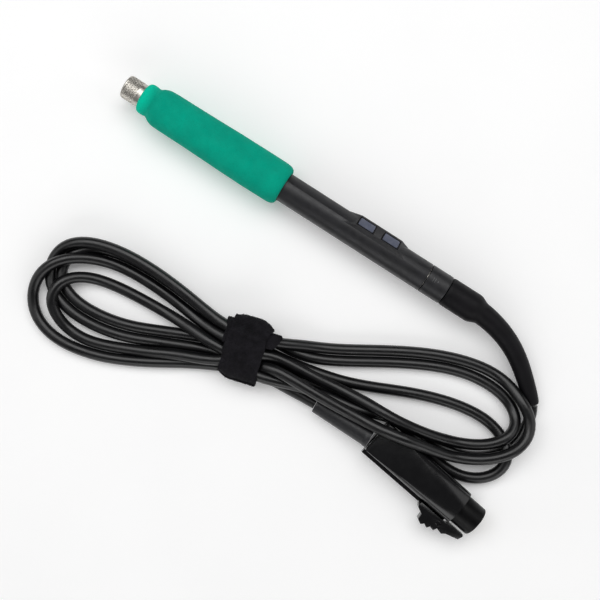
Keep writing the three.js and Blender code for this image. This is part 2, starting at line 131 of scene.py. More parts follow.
def mesh_piece(name, points, faces, uv=None):
    """A mesh object from points in millimetres in the row frame. uv holds one pair for each point."""
    mesh = bpy.data.meshes.new(name)
    mesh.from_pydata([tuple(c * MM for c in p) for p in points], [], faces)
    mesh.update()
    if uv is not None:
        layer = mesh.uv_layers.new(name="UVMap")
        corners = np.empty(len(mesh.loops), np.int32)
        mesh.loops.foreach_get("vertex_index", corners)
        layer.data.foreach_set("uv", np.asarray(uv, np.float32)[corners].ravel())
    return new_object(name, mesh)


def point_faces_out(mesh):
    work = bmesh.new()
    work.from_mesh(mesh)
    bmesh.ops.recalc_face_normals(work, faces=work.faces)
    work.to_mesh(mesh)
    work.free()


def shade(piece, degrees):
    """Smooth shading that keeps edges sharper than the angle."""
    work = bmesh.new()
    work.from_mesh(piece.data)
    limit = math.radians(degrees)
    for edge in work.edges:
        edge.smooth = len(edge.link_faces) == 2 and edge.calc_face_angle(0.0) < limit
    for face in work.faces:
        face.smooth = True
    work.to_mesh(piece.data)
    work.free()


def finish_piece(piece, look=None, body=ROOT, replaced=()):
    """Gives a piece its finish, the body it rides on and the CAD nodes it stands for."""
    if look:
        piece.data.materials.clear()
        piece.data.materials.append(material(look))
    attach(piece, body)
    if replaced:
        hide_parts(*replaced)
    return piece


def as_plain_mesh(piece):
    """Turns a piece's modifiers into its mesh."""
    bpy.context.view_layer.update()
    graph = bpy.context.evaluated_depsgraph_get()
    made = bpy.data.meshes.new_from_object(piece.evaluated_get(graph), depsgraph=graph)
    for modifier in list(piece.modifiers):
        piece.modifiers.remove(modifier)
    old = piece.data
    piece.data = made
    made.name = piece.name
    bpy.data.meshes.remove(old)
    return piece


def round_edges(piece, width, segments, angle=30):
    """Rounds the edges sharper than the angle, over width millimetres."""
    rounding = piece.modifiers.new("edges", "BEVEL")
    rounding.width = width * MM
    rounding.segments = segments
    rounding.limit_method = "ANGLE"
    rounding.angle_limit = math.radians(angle)
    return as_plain_mesh(piece)


def from_cad(source, name, edge, segments, angle=30):
    """A piece with a CAD node's shape, its flat faces joined and its edges rounded by edge millimetres."""
    mesh = frame["nodes"][source].data.copy()
    mesh.name = name
    mesh.materials.clear()
    work = bmesh.new()
    work.from_mesh(mesh)
    bmesh.ops.remove_doubles(work, verts=work.verts, dist=MERGE_WITHIN)
    bmesh.ops.dissolve_limit(work, angle_limit=FLAT_WITHIN, verts=work.verts, edges=work.edges)
    work.to_mesh(mesh)
    work.free()
    while mesh.attributes.get("custom_normal"):
        mesh.attributes.remove(mesh.attributes["custom_normal"])
    return round_edges(new_object(name, mesh), edge, segments, angle)


def ring_faces(rings, sides, closed=False):
    """Faces between rings of points that follow each other. closed joins the last ring to the first."""
    faces = []
    for i in range(rings if closed else rings - 1):
        a = i * sides
        b = ((i + 1) % rings) * sides
        for j in range(sides):
            k = (j + 1) % sides
            faces.append((a + j, a + k, b + k, b + j))
    return faces


def grid_faces(rows, columns):
    """Faces of a grid that has one more point than faces each way."""
    row = columns + 1
    corners = [i * row + j for i in range(rows) for j in range(columns)]
    return [(a, a + row, a + row + 1, a + 1) for a in corners]


def unit_circle(sides):
    """Cosines and sines of even steps round a circle."""
    return [(math.cos(TAU * j / sides), math.sin(TAU * j / sides)) for j in range(sides)]


def turned_piece(name, profile, sides):
    """A turned piece about the handle's axis, from a closed (x, radius) profile that stays off the axis."""
    circle = unit_circle(sides)
    points = [handle_point(x, radius * c, radius * s) for x, radius in profile for c, s in circle]
    piece = mesh_piece(name, points, ring_faces(len(profile), sides, True))
    point_faces_out(piece.data)
    return piece


def smoothed(line):
    """The same line with each inner point drawn towards its neighbours."""
    line[1:-1] = (line[:-2] + 2 * line[1:-1] + line[2:]) / 4
    return line


def smooth_profile(corners, step, rounds):
    """An (x, radius) outline resampled every step millimetres and rounded by averaging."""
    out = []
    for (x0, r0), (x1, r1) in zip(corners, corners[1:]):
        count = max(1, int(math.hypot(x1 - x0, r1 - r0) / step))
        out += [(x0 + (x1 - x0) * i / count, r0 + (r1 - r0) * i / count) for i in range(count)]
    line = np.array(out + [corners[-1]])
    for _ in range(rounds):
        smoothed(line)
    return [tuple(p) for p in line]


def distances(line):
    """How far along a line each of its points is."""
    return np.r_[0, np.cumsum(np.linalg.norm(np.diff(line, axis=0), axis=1))]


def evenly(line, spacing):
    """The same line with points an even distance apart."""
    way = distances(line)
    count = max(2, int(round(way[-1] / spacing)))
    stations = np.linspace(0, way[-1], count + 1)
    return np.stack([np.interp(stations, way, line[:, k]) for k in range(3)], 1)


def along_curve(points, spacing):
    """A smooth centripetal curve through points, as evenly spaced points."""
    p = np.vstack([2 * points[0] - points[1], points, 2 * points[-1] - points[-2]])
    knots = np.r_[0, np.cumsum(np.sqrt(np.maximum(np.linalg.norm(np.diff(p, axis=0), axis=1), 1e-6)))]
    fine = []
    share = np.linspace(0, 1, CURVE_STEPS, endpoint=False)[:, None]
    for i in range(1, len(p) - 2):
        t0, t1, t2, t3 = knots[i - 1 : i + 3]
        t = t1 + (t2 - t1) * share
        a1 = ((t1 - t) * p[i - 1] + (t - t0) * p[i]) / (t1 - t0)
        a2 = ((t2 - t) * p[i] + (t - t1) * p[i + 1]) / (t2 - t1)
        a3 = ((t3 - t) * p[i + 1] + (t - t2) * p[i + 2]) / (t3 - t2)
        b1 = ((t2 - t) * a1 + (t - t0) * a2) / (t2 - t0)
        b2 = ((t3 - t) * a2 + (t - t1) * a3) / (t3 - t1)
        fine.append(((t2 - t) * b1 + (t - t1) * b2) / (t2 - t1))
    fine.append(p[-2][None])
    return evenly(np.vstack(fine), spacing)


def cross_directions(line):
    """Two directions across a line at each of its points, carried along without twist."""
    tangents = np.gradient(line, axis=0)
    tangents /= np.linalg.norm(tangents, axis=1)[:, None]
    side = np.cross((0.0, 0.0, 1.0), tangents[0])
    side /= np.linalg.norm(side)
    sides = [side]
    for tangent in tangents[1:]:
        side = side - tangent * (side @ tangent)
        side /= np.linalg.norm(side)
        sides.append(side)
    sides = np.array(sides)
    return sides, np.cross(tangents, sides)


def swept_tube(name, line, radii, around, ends=0.6):
    """A round tube along a line, with a UV map in metres. ends is the share of its radius at its ends."""
    side, up = cross_directions(line)
    way = distances(line)
    stations = np.r_[0, np.arange(len(line)), len(line) - 1]
    ring_radii = np.broadcast_to(np.asarray(radii, float), (len(line),))[stations]
    ring_radii[[0, -1]] *= ends
    points = []
    uv = []
    circle = unit_circle(around)
    for i, radius in zip(stations, ring_radii):
        points += [line[i] + radius * (c * side[i] + s * up[i]) for c, s in circle]
        uv += [(way[i] * MM, j / around) for j in range(around)]
    first = len(points)
    last = first - around
    points += [line[0], line[-1]]
    uv += [(0.0, 0.5), (way[-1] * MM, 0.5)]
    faces = ring_faces(len(stations), around)
    for j in range(around):
        k = (j + 1) % around
        faces += [(first, k, j), (first + 1, last + j, last + k)]
    piece = mesh_piece(name, points, faces, uv)
    point_faces_out(piece.data)
    return piece


# ---------------------------------------------------------------- node helpers
def set_inputs(tree, made, values):
    """Sets a node's inputs by name or index, and links those whose value is another node's output."""
    for key, value in values.items():
        if isinstance(value, bpy.types.NodeSocket):
            tree.links.new(value, made.inputs[key])
        else:
            made.inputs[key].default_value = value


def node(tree, kind, values=None, **settings):
    """Adds a node with its settings and its inputs."""
    made = tree.nodes.new(kind)
    for name, value in settings.items():
        setattr(made, name, value)
    set_inputs(tree, made, values or {})
    return made


def math_node(tree, operation, a, b=0.0, c=0.0):
    return node(tree, "ShaderNodeMath", {0: a, 1: b, 2: c}, operation=operation).outputs[0]


def colour(red, green, blue):
    """A linear colour from the 0 to 255 values of a screen."""
    def linear(value):
        v = value / 255
        return v / 12.92 if v <= 0.04045 else ((v + 0.055) / 1.055) ** 2.4
    return (linear(red), linear(green), linear(blue), 1.0)


def lighter(value, factor):
    """A colour made lighter, or darker where the factor is under 1."""
    return tuple(min(1.0, c * factor) for c in value[:3]) + (1.0,)


def start_material(name):
    """A new material: itself, its tree, its shader and the outputs of its coordinates."""
    made = bpy.data.materials.new(name)
    made.use_nodes = True
    tree = made.node_tree
    return made, tree, tree.nodes["Principled BSDF"], node(tree, "ShaderNodeTexCoord").outputs


def noise(tree, where, size, detail=3.0, roughness=0.55, stretch=(1, 1, 1)):
    """Noise whose blotches are about size millimetres across."""
    way = node(tree, "ShaderNodeMapping", {"Vector": where, "Scale": stretch})
    values = {"Vector": way.outputs[0], "Scale": 1 / (size * MM), "Detail": detail, "Roughness": roughness}
    return node(tree, "ShaderNodeTexNoise", values).outputs["Fac"]


def spread(tree, value, low, high, source=(0.35, 0.65)):
    """Maps a value from its source range to low and high."""
    values = {"Value": value, "From Min": source[0], "From Max": source[1], "To Min": low, "To Max": high}
    return node(tree, "ShaderNodeMapRange", values).outputs["Result"]


def blend_colours(tree, amount, a, b):
    return node(tree, "ShaderNodeMix", {0: amount, 6: a, 7: b}, data_type="RGBA").outputs[2]


def add_bump(tree, shader, height, depth, under=None):
    """Relief depth millimetres deep on a shader. under is the bump that it lies on."""
    values = {"Height": height, "Distance": depth * MM}
    if under is not None:
        values["Normal"] = under
    made = node(tree, "ShaderNodeBump", values).outputs[0]
    tree.links.new(made, shader.inputs["Normal"])
    return made


def moulded(name, dark, light, patch, rough, grain, depth, constants=None):
    """A moulded plastic or rubber: blotches of two shades, uneven gloss and a fine grain."""
    made, tree, shader, places = start_material(name)
    where = places["Object"]
    set_inputs(tree, shader, {
        "Base Color": blend_colours(tree, spread(tree, noise(tree, where, patch), 0, 1), dark, light),
        "Roughness": spread(tree, noise(tree, where, patch * 0.3, 5.0), *rough),
        **(constants or {}),
    })
    under = add_bump(tree, shader, noise(tree, where, grain, 2.0), depth)
    add_bump(tree, shader, noise(tree, where, grain * 12, 2.0), depth * 2.5, under)
    return made


def foam_finish(body, pale):
    """Closed-cell foam: fine pores, faint worn patches and a painted highlight that makes the front lip
    paler.
    """
    made, tree, shader, places = start_material("green_foam")
    where = places["Object"]
    pores = node(tree, "ShaderNodeTexVoronoi", {"Vector": where, "Scale": 1 / (0.42 * MM)})
    cells = pores.outputs["Distance"]
    patches = spread(tree, noise(tree, where, 9.0, 4.0), 0, 0.2)
    along = node(tree, "ShaderNodeSeparateXYZ", {0: where}).outputs["X"]
    # painted highlight: the foam turns paler towards the front lip, as if light catches it there
    lip = spread(tree, along, 1.0, 0.0, ((FRONT + 10.5) * MM, (FRONT + 14.5) * MM))
    base = blend_colours(tree, math_node(tree, "MAXIMUM", patches, lip), body, pale)
    speck = spread(tree, cells, 0.0, 0.22, (0.5, 0.9))
    set_inputs(tree, shader, {
        "Base Color": blend_colours(tree, speck, base, lighter(body, 0.6)),
        "Roughness": spread(tree, noise(tree, where, 4.0), 0.74, 0.92),
        "Sheen Weight": 0.04,
        "Sheen Roughness": 0.45,
        "Sheen Tint": pale,
        "Specular IOR Level": 0.1,
    })
    under = add_bump(tree, shader, noise(tree, where, 2.4, 3.0), 0.025)
    add_bump(tree, shader, cells, 0.05, under)
    return made


def steel_finish(name, tint, rough):
    """Turned metal with fine marks round it and a little tarnish."""
    made, tree, shader, places = start_material(name)
    where = places["Object"]
    marks = noise(tree, where, 0.25, 3.0, 0.6, (0.06, 1, 1))
    tarnish = spread(tree, noise(tree, where, 2.5, 5.0), 0, 0.5)
    set_inputs(tree, shader, {
        "Base Color": blend_colours(tree, tarnish, tint, lighter(tint, 0.68)),
        "Roughness": spread(tree, marks, *rough),
        "Metallic": 1.0,
    })
    add_bump(tree, shader, marks, 0.008)
    return made


def cord_finish(dark, light):
    """Satin silicone cable: faint draw lines along it, small scuffs and dust."""
    made, tree, shader, places = start_material("cable_jacket")
    along = node(tree, "ShaderNodeMapping", {"Vector": places["UV"], "Scale": (0.4, 0.009, 1.0)})
    lines = noise(tree, along.outputs[0], 0.16, 2.0)
    where = places["Object"]
    scuffs = spread(tree, noise(tree, where, 2.2, 6.0, 0.7), 0, 1, (0.56, 0.74))
    gloss = spread(tree, noise(tree, where, 6.0, 4.0), 0.27, 0.36)
    set_inputs(tree, shader, {
        "Base Color": blend_colours(tree, scuffs, dark, light),
        "Roughness": math_node(tree, "ADD", gloss, math_node(tree, "MULTIPLY", scuffs, 0.1)),
        "Specular IOR Level": 0.55,
    })
    under = add_bump(tree, shader, lines, 0.012)
    add_bump(tree, shader, noise(tree, where, 0.5, 3.0), 0.012, under)
    return made


def strap_finish(dark, light):
    """Hook-and-loop pile: matted loops over a rib of woven ground."""
    made, tree, shader, places = start_material("loop_pile")
    where = places["Object"]
    loops = noise(tree, where, 0.7, 5.0, 0.7)
    rib = node(tree, "ShaderNodeTexWave", {
        "Vector": places["UV"],
        "Scale": 1 / (2.2 * MM),
        "Distortion": 3.0,
        "Detail": 2.0,
        "Detail Scale": 1.5,
    }, bands_direction="X")
    set_inputs(tree, shader, {
        "Base Color": blend_colours(tree, spread(tree, noise(tree, where, 3.5, 4.0), 0, 1), dark, light),
        "Roughness": spread(tree, loops, 0.85, 1.0),
        "Specular IOR Level": 0.15,
        "Sheen Weight": 0.25,
        "Sheen Roughness": 0.6,
        "Sheen Tint": light,
    })
    under = add_bump(tree, shader, rib.outputs["Fac"], 0.12)
    add_bump(tree, shader, loops, 0.3, under)
    return made


# ---------------------------------------------------------------- Geometry Nodes helpers
class Builder:
    """A Geometry Nodes tree with named number inputs, run on a piece and turned into a plain mesh."""

    def __init__(self, name, numbers):
        self.tree = bpy.data.node_groups.new(name, "GeometryNodeTree")
        face = self.tree.interface
        face.new_socket("Geometry", in_out="INPUT", socket_type="NodeSocketGeometry")
        face.new_socket("Geometry", in_out="OUTPUT", socket_type="NodeSocketGeometry")
        self.ids = {}
        for label, value in numbers.items():
            kind = "Int" if isinstance(value, int) else "Float"
            socket = face.new_socket(label, in_out="INPUT", socket_type=f"NodeSocket{kind}")
            socket.default_value = value
            self.ids[socket.identifier] = value
        self.inputs = self.tree.nodes.new("NodeGroupInput")
        self.out = self.tree.nodes.new("NodeGroupOutput")

    def get(self, label):
        return self.inputs.outputs[label]

    def add(self, kind, values=None, **settings):
        """The first output of a new node."""
        return node(self.tree, kind, values, **settings).outputs[0]

    def maths(self, operation, a, b=0.0, c=0.0):
        return math_node(self.tree, operation, a, b, c)

    def vector(self, x, y, z):
        return self.add("ShaderNodeCombineXYZ", {0: x, 1: y, 2: z})

    def move(self, geometry, place, turn=(0.0, 0.0, 0.0)):
        values = {"Geometry": geometry, "Translation": place, "Rotation": turn}
        return self.add("GeometryNodeTransform", values)

    def scatter(self, points, instance, turn, scale=(1.0, 1.0, 1.0)):
        values = {"Points": points, "Instance": instance, "Rotation": turn, "Scale": scale}
        return self.add("GeometryNodeInstanceOnPoints", values)

    def join(self, *parts):
        made = node(self.tree, "GeometryNodeJoinGeometry")
        for part in parts:
            self.tree.links.new(part, made.inputs[0])
        return made.outputs[0]

    def on_connector(self, geometry):
        """Carries geometry from the connector's frame to the row frame."""
        return self.move(geometry, tuple(connector_point(0, 0, 0) * MM), (0.0, 0.0, CONNECTOR_TURN))

    def finish(self, geometry, look, piece):
        """Realizes the geometry, gives it its finish, runs the tree on piece and leaves it a plain mesh."""
        solid = self.add("GeometryNodeRealizeInstances", {0: geometry})
        painted = self.add("GeometryNodeSetMaterial", {"Geometry": solid, "Material": material(look)})
        self.tree.links.new(painted, self.out.inputs[0])
        modifier = piece.modifiers.new(self.tree.name, "NODES")
        modifier.node_group = self.tree
        for identifier, value in self.ids.items():
            modifier[identifier] = value
        return as_plain_mesh(piece)


def keep_above_table(piece):
    for vertex in piece.data.vertices:
        vertex.co.z = max(vertex.co.z, 0.0)


# ---------------------------------------------------------------- sizes and colours a user may change
def length_property(name, description, millimetres):
    return bpy.props.FloatProperty(
        name=name, description=description, default=millimetres * MM, min=0.0, unit="LENGTH", precision=5)


def colour_property(name, description, value):
    return bpy.props.FloatVectorProperty(
        name=name, description=description, default=value, size=4, min=0.0, max=1.0, subtype="COLOR")


class HandleSizes(bpy.types.PropertyGroup):
    """Sizes of the fine shapes, around the fixed sizes of the frame"""
    cord_diameter: length_property("Cable diameter", "Outside diameter of the cable", 4.8)
    strap_width: length_property("Strap width", "Width of the hook-and-loop strap", 16.6)
    strap_thickness: length_property("Strap thickness", "Thickness of one layer of the strap", 0.7)
    knurl_height: length_property("Knurl height", "How far the ferrule's knurl stands up", 0.16)
    foam_unevenness: length_property("Foam unevenness", "How far the foam's skin wanders", 0.08)
    edge_round: length_property("Edge rounding", "Radius of the moulded pieces' edges", 0.35)
    pile_strands: bpy.props.IntProperty(
        name="Pile strands", description="Number of loose loops on the strap", default=5200, min=0)


class HandleColours(bpy.types.PropertyGroup):
    """Colours of the finishes"""
    foam: colour_property("Foam", "Main colour of the grip", colour(0, 154, 129))
    # this paler shade serves the random worn patches and the painted highlight on the front lip
    foam_pale_and_lip_highlight: colour_property("Worn foam and lip highlight", "Paler colour of rubbed foam and of the painted highlight on the front lip", colour(0, 198, 164))
    housing: colour_property("Housing", "Black of the handle's tube", colour(20, 20, 23))
    button: colour_property("Buttons", "Slate grey of the buttons", colour(76, 81, 98))
    rubber: colour_property("Boot rubber", "Black of the cable boot", colour(11, 10, 13))
    cable: colour_property("Cable", "Black of the cable", colour(9, 9, 11))
    gloss: colour_property("Connector", "Black of the connector's shells", colour(9, 9, 11))
    strap: colour_property("Strap", "Black of the hook-and-loop strap", colour(18, 17, 20))
    steel: colour_property("Ferrule", "Nickel colour of the ferrule", colour(200, 196, 188))


def sizes():
    return bpy.context.scene.handle_sizes


def colours():
    return bpy.context.scene.handle_colours


MATERIALS = {}


def moulded_looks():
    """Each moulded finish: name, two shades, patch size, gloss range, grain, depth and constant inputs."""
    c = colours()
    copper = colour(205, 122, 78)
    soft = {"Specular IOR Level": 0.17}
    coat = {"Coat Weight": 0.2, "Coat Roughness": 0.1}
    return {
        "copper": ("wire_jacket", copper, lighter(copper, 0.6), 3, (0.4, 0.6), 0.2, 0.01),
        "housing": ("housing_black", c.housing, lighter(c.housing, 1.5), 8, (0.38, 0.5), 0.22, 0.012),
        "button": ("button_slate", c.button, lighter(c.button, 1.2), 3, (0.45, 0.6), 0.25, 0.01),
        "rubber": ("boot_rubber", c.rubber, lighter(c.rubber, 1.5), 7, (0.46, 0.58), 0.3, 0.012, soft),
        "gloss": ("connector_gloss", c.gloss, lighter(c.gloss, 1.1), 10, (0.2, 0.25), 0.8, 0.0004, coat),
        "barrel": (
            "barrel_black", lighter(c.gloss, 0.5), lighter(c.gloss, 0.7), 8, (0.34, 0.42), 0.6, 0.002, soft),
        "mark": ("mark_grey", colour(70, 70, 72), colour(84, 84, 86), 3, (0.5, 0.6), 0.3, 0.005),
        "insulator": (
            "insulator_ivory", colour(210, 204, 188), colour(190, 182, 162), 4, (0.4, 0.55), 0.3, 0.01),
        "board": ("board_green", colour(22, 92, 56), colour(14, 66, 42), 5, (0.35, 0.5), 0.3, 0.01),
    }


def material(name):
    """One of this object's finishes, made when it is first asked for."""
    if name not in MATERIALS:
        c = colours()
        makers = {
            "foam": lambda: foam_finish(c.foam, c.foam_pale_and_lip_highlight),
            "steel": lambda: steel_finish("nickel_steel", tuple(c.steel), (0.3, 0.4)),
            "brass": lambda: steel_finish("contact_gilt", colour(222, 180, 96), (0.18, 0.34)),
            "cable": lambda: cord_finish(c.cable, lighter(c.cable, 2.2)),
            "strap": lambda: strap_finish(c.strap, lighter(c.strap, 2.0)),
        }
        MATERIALS[name] = makers[name]() if name in makers else moulded(*moulded_looks()[name])
    return MATERIALS[name]


# ---------------------------------------------------------------- stage
def area_light(name, place, target, width, depth, power):
    """A rectangular light aimed at the target, in millimetres and watts."""
    data = bpy.data.lights.new(name, "AREA")
    data.shape = "RECTANGLE"
    data.size = width * MM
    data.size_y = depth * MM
    data.energy = power
    made = new_object(name, data)
    made.location = place * MM
    way = target * MM - made.location
    made.rotation_euler = way.to_track_quat("-Z", "Y").to_euler()


class HANDLE_OT_stage(bpy.types.Operator):
    """Makes the camera, the pale floor and the soft studio light"""
    bl_idname = "handle.stage"
    bl_label = "Stage"

    def execute(self, context):
        right = Vector(CAMERA_RIGHT).normalized()
        back = Vector((0, 0, 1))
        turn = Matrix((right, back.cross(right), back)).transposed()
        data = bpy.data.cameras.new("camera")
        data.lens = CAMERA_LENS
        data.sensor_width = 36.0
        data.clip_start = 0.01
        data.clip_end = 20.0
        camera = new_object("camera", data)
        camera.matrix_world = Matrix.Translation(Vector(CAMERA_AT) * MM) @ turn.to_4x4()
        context.scene.camera = camera

        corners = [(x * FLOOR_HALF, y * FLOOR_HALF, 0) for x, y in ((-1, -1), (1, -1), (1, 1), (-1, 1))]
        floor = mesh_piece("floor", corners, [(0, 1, 2, 3)])
        paper, tree, shader, places = start_material("paper_floor")
        paper_white = colour(250, 250, 250)
        cloudy = spread(tree, noise(tree, places["Object"], 60.0), 0, 1)
        set_inputs(tree, shader, {
            "Base Color": blend_colours(tree, cloudy, paper_white, lighter(paper_white, 0.985)),
            "Roughness": 0.95,
            "Specular IOR Level": 0.05,
            "Emission Color": WHITE,
            "Emission Strength": 0.13,
        })
        floor.data.materials.append(paper)

        world = bpy.data.worlds.new("studio")
        context.scene.world = world
        world.use_nodes = True
        sky = world.node_tree.nodes["Background"]
        set_inputs(world.node_tree, sky, {"Color": WHITE, "Strength": 0.1})
        context.scene.view_settings.view_transform = "Standard"
        up = back.cross(right)
        centre = Vector(LIGHTS_AIM)
        area_light("key_light", centre + up * 400 + right * -60 + back * 800, centre, 1300, 600, 6.4)
        area_light("fill_light", centre - up * 800 + right * 100 + back * 420, centre, 1300, 500, 3.4)
        area_light("side_light", centre + right * 850 + back * 520, centre, 600, 900, 1.5)
        area_light("left_light", centre - right * 850 + back * 520, centre, 600, 900, 1.5)
        return {"FINISHED"}


# ---------------------------------------------------------------- cable
LEAD_ROUTE = [(136.95, -20.95, 3.4), (138.3, -22.9, 3.0), (139.3, -25.2, 2.6), (139.8, -27.6, 2.45),
              (139.9, -30, 2.42)]
TAIL_ROUTE = [(37.4, -71.2, 2.42), (42, -70.9, 2.5), (47, -70.5, 2.8), (53, -70, 3.3), (59.2, -69.6, 3.9)]

# Plan of the hank's free lobes, in the order that the cable runs, each with the layer it was laid on.
RIGHT_LOBES = [
    (0, [(140.2, -36), (137.6, -43), (130, -50.6), (118, -56), (106, -57.6), (92, -57.4), (78, -60.2),
         (60, -62.8), (44, -63.6)]),
    (1, [(44, -60.3), (57.7, -57.4), (72, -52.2), (90.5, -43.7), (105.2, -39), (120, -36.4), (131, -37.6),
         (138.5, -42.2), (141.4, -49), (138.4, -55.2), (131.6, -60.6), (122, -63.2), (110, -61.6),
         (98, -59.4), (87, -59), (75, -62.6), (60, -66.4), (46, -67.6)]),
    (3, [(50.9, -48.3), (68.4, -36.9), (88.1, -26.3), (103, -20.4), (117.4, -17.9), (131.2, -19.4),
         (140.1, -25.5), (143.1, -33.5), (140.4, -41.5), (130.2, -51.8), (115, -58.9), (103, -61.9),
         (89.9, -63.7), (73.4, -64.8), (53.4, -66.2), (40, -67.2)]),
    (2, [(40.5, -56.6), (53.4, -50.4), (70.8, -40.7), (90.4, -29.9), (105, -24.6), (118.2, -23.6),
         (131, -25.9), (137.2, -33.5), (134.5, -40), (125.3, -47.7), (111.6, -53.9), (93.6, -57.4),
         (78, -58.4), (62.2, -59.2), (48, -61)]),
]
LEFT_LOBES = [
    (0, [(-7.8, -77.1), (-21.3, -83.3), (-34.9, -86.4), (-45, -87.8), (-53.8, -88.1), (-60.4, -84.1),
         (-63.4, -77.7), (-62.1, -70.4), (-54.9, -64.4), (-39.2, -60.5), (-14, -60.6)]),
    (1, [(6.4, -75.2), (-5.4, -81), (-18.7, -87.6), (-32.1, -90.7), (-43.2, -91), (-52.2, -91.1),
         (-59.4, -88.6), (-64.9, -83.5), (-67.2, -77.2), (-65.3, -70.6), (-57.4, -64.1), (-39.2, -59.4),
         (-14, -59.6)]),
    (2, [(-5.3, -87.2), (-18.1, -94.7), (-31.5, -101.6), (-45.5, -104.9), (-57.2, -103.1), (-65.6, -96.4),
         (-68.4, -88.4), (-66.9, -80.8), (-62.1, -73.6), (-53, -67.7), (-36.9, -64), (-12, -63.6)]),
    (2, [(-6.5, -86), (-16.3, -92.1), (-31.8, -98.4), (-46.9, -98.8), (-56.8, -94.6), (-61, -87.4),
         (-57.6, -80.2), (-49.3, -75.7), (-31.5, -72.3), (-8, -71)]),
]
# How each pass goes through the strap: (across, layer) at its right mouth, then at its left mouth.
STRAP_PASSES = [
    ((-2.6, 0), (1.5, 0)), ((2.6, 0), (6.5, 0)), ((-8.2, 1), (-3.5, 0)), ((6.8, 1), (8.4, 1)),
    ((-3.8, 1), (-8.4, 0)), ((7.6, 0), (3.6, 1)), ((1.2, 1), (-6.0, 1)), ((-7.6, 0), (-1.2, 1)),
]
PASS_HALF = 8.5  # half the length of a pass
PASS_HEIGHT = 3.9  # a pass's height in the strap's lowest layer
STRAND_GAP = 4.85
LAYER_HEIGHT = 5.0
ANCHOR_SPACING = 2.2
CABLE_SPACING = 2.0
LEAD_HELD = 14  # how much of the cable stays as laid at the boot, and at the sleeve
TAIL_HELD = 24
ON_PASS = 0.45  # how near a held pass a point is held with it

# How the cable settles.
SETTLE_STEPS = 420
PAIR_EVERY = 10  # steps between searches for strands that are near each other
CLEAR_EVERY = 4  # steps between clearings of the solids
LAST_STEPS = 12  # the steps at the end that each clear the solids
CLEARANCE = 0.15  # millimetres kept between strands
SINK = 0.11  # millimetres that the cable falls in a step
PLAN_PULL = 0.06  # share of the way back to its plan that it moves in a step
STRAIGHTEN = 0.2  # share of the straightening pull that is taken in a step
PAIR_REACH = 3  # how much further off than touching a strand is still watched
PAIR_SKIP = 1.7  # how far along itself the cable may touch, in widths
PUSH_ROUNDS = 3
SIDE_PUSH = 0.15  # share of a sideways push that crossing strands feel
SOLIDS_FROM = 55  # x past which the cable may meet the connector or the boot
SKIN = 0.05  # millimetres kept between the cable and the solids
SEARCH = 6  # how much further off than touching a solid is still looked for
UPWARD = 0.2  # a push that leans up more than this keeps only SIDE_SHARE of its sideways part
SIDE_SHARE = 0.4


def strap_slot(along, across, layer):
    """Where a strand crosses the strap, in the row frame, in millimetres."""
    return strap_place(along, across, PASS_HEIGHT + STRAND_GAP * layer)


def cable_anchors(radius):
    """The cable's route as laid on the table, and which of its points are held."""
    points = list(LEAD_ROUTE)
    held = [1] * len(points)
    for i, (right, left) in enumerate(STRAP_PASSES):
        leftward = i % 2 == 0
        layer, plan = (RIGHT_LOBES if leftward else LEFT_LOBES)[i // 2]
        points += [(x, y, radius + LAYER_HEIGHT * layer) for x, y in plan]
        held += [0] * len(plan)
        mouths = [strap_slot(PASS_HALF, *right), strap_slot(-PASS_HALF, *left)]
        points += mouths if leftward else mouths[::-1]
        held += [1, 1]
    points += TAIL_ROUTE
    held += [1] * len(TAIL_ROUTE)
    return np.array(points, float), np.array(held)


def surface_tree(pieces):
    """A search tree over the pieces' surfaces, in millimetres."""
    corners = []
    faces = []
    for piece in pieces:
        base = len(corners)
        corners += [v.co / MM for v in piece.data.vertices]
        faces += [tuple(base + v for v in p.vertices) for p in piece.data.polygons]
    return BVHTree.FromPolygons(corners, faces)


def push_out(points, movable, tree, clear):
    """Moves points nearer than clear to the tree's solids out of them, upwards more than sideways."""
    for i in movable:
        spot, normal, _, far = tree.find_nearest(points[i], clear + SEARCH)
        if spot is None:
            continue
        away = Vector(points[i]) - spot
        if away.dot(normal) < 0:
            away = normal
            missing = clear + far
        elif far < clear:
            away.normalize()
            missing = clear - far
        else:
            continue
        push = Vector((away.x * SIDE_SHARE, away.y * SIDE_SHARE, away.z)) if away.z > UPWARD else away
        points[i] += np.array(push) * missing


def stiffness(place, stride):
    """The pull that straightens a bent line, felt over stride points either way."""
    bend = np.zeros_like(place)
    bend[stride:-stride] = place[: -2 * stride] - 2 * place[stride:-stride] + place[2 * stride :]
    pull = np.zeros_like(place)
    pull[stride:-stride] = bend[stride:-stride] - (bend[: -2 * stride] + bend[2 * stride :]) / 2
    return pull


def near_pairs(place, reach, skip):
    """Pairs of points nearer than reach that are more than skip points apart along the line."""
    ranks = np.arange(len(place))
    pairs = []
    for low in range(0, len(place), 200):
        gaps = ((place[low : low + 200][:, None] - place[None]) ** 2).sum(2)
        a, b = np.nonzero(gaps < reach**2)
        a += low
        keep = ranks[b] - ranks[a] > skip
        pairs.append(np.stack([a[keep], b[keep]], 1))
    return np.vstack(pairs).T


def push_apart(place, free, target, first, second, apart):
    """Moves strands nearer than apart off each other, sideways mostly where they run side by side."""
    way = np.gradient(place, axis=0)
    way /= np.linalg.norm(way, axis=1)[:, None]
    for _ in range(PUSH_ROUNDS):
        gap = place[first] - place[second]
        far = np.linalg.norm(gap, axis=1)
        near = far < apart
        a = first[near]
        b = second[near]
        push = gap[near] / np.maximum(far[near], 1e-6)[:, None] * ((apart - far[near]) * 0.5)[:, None]
        side_by_side = np.abs((way[a] * way[b]).sum(1))
        meant = np.linalg.norm(target[a] - target[b], axis=1)
        beside = np.clip((meant - 1.2) / 2.5, 0.0, 1.0)
        push[:, :2] *= (SIDE_PUSH + (1 - SIDE_PUSH) * side_by_side**4 * beside)[:, None]
        moved = np.zeros_like(place)
        hits = np.zeros(len(place))
        np.add.at(moved, a, push)
        np.add.at(moved, b, -push)
        np.add.at(hits, a, 1)
        np.add.at(hits, b, 1)
        moved[free] /= np.maximum(hits[free] * 0.6, 1)[:, None]
        place[free] += moved[free]


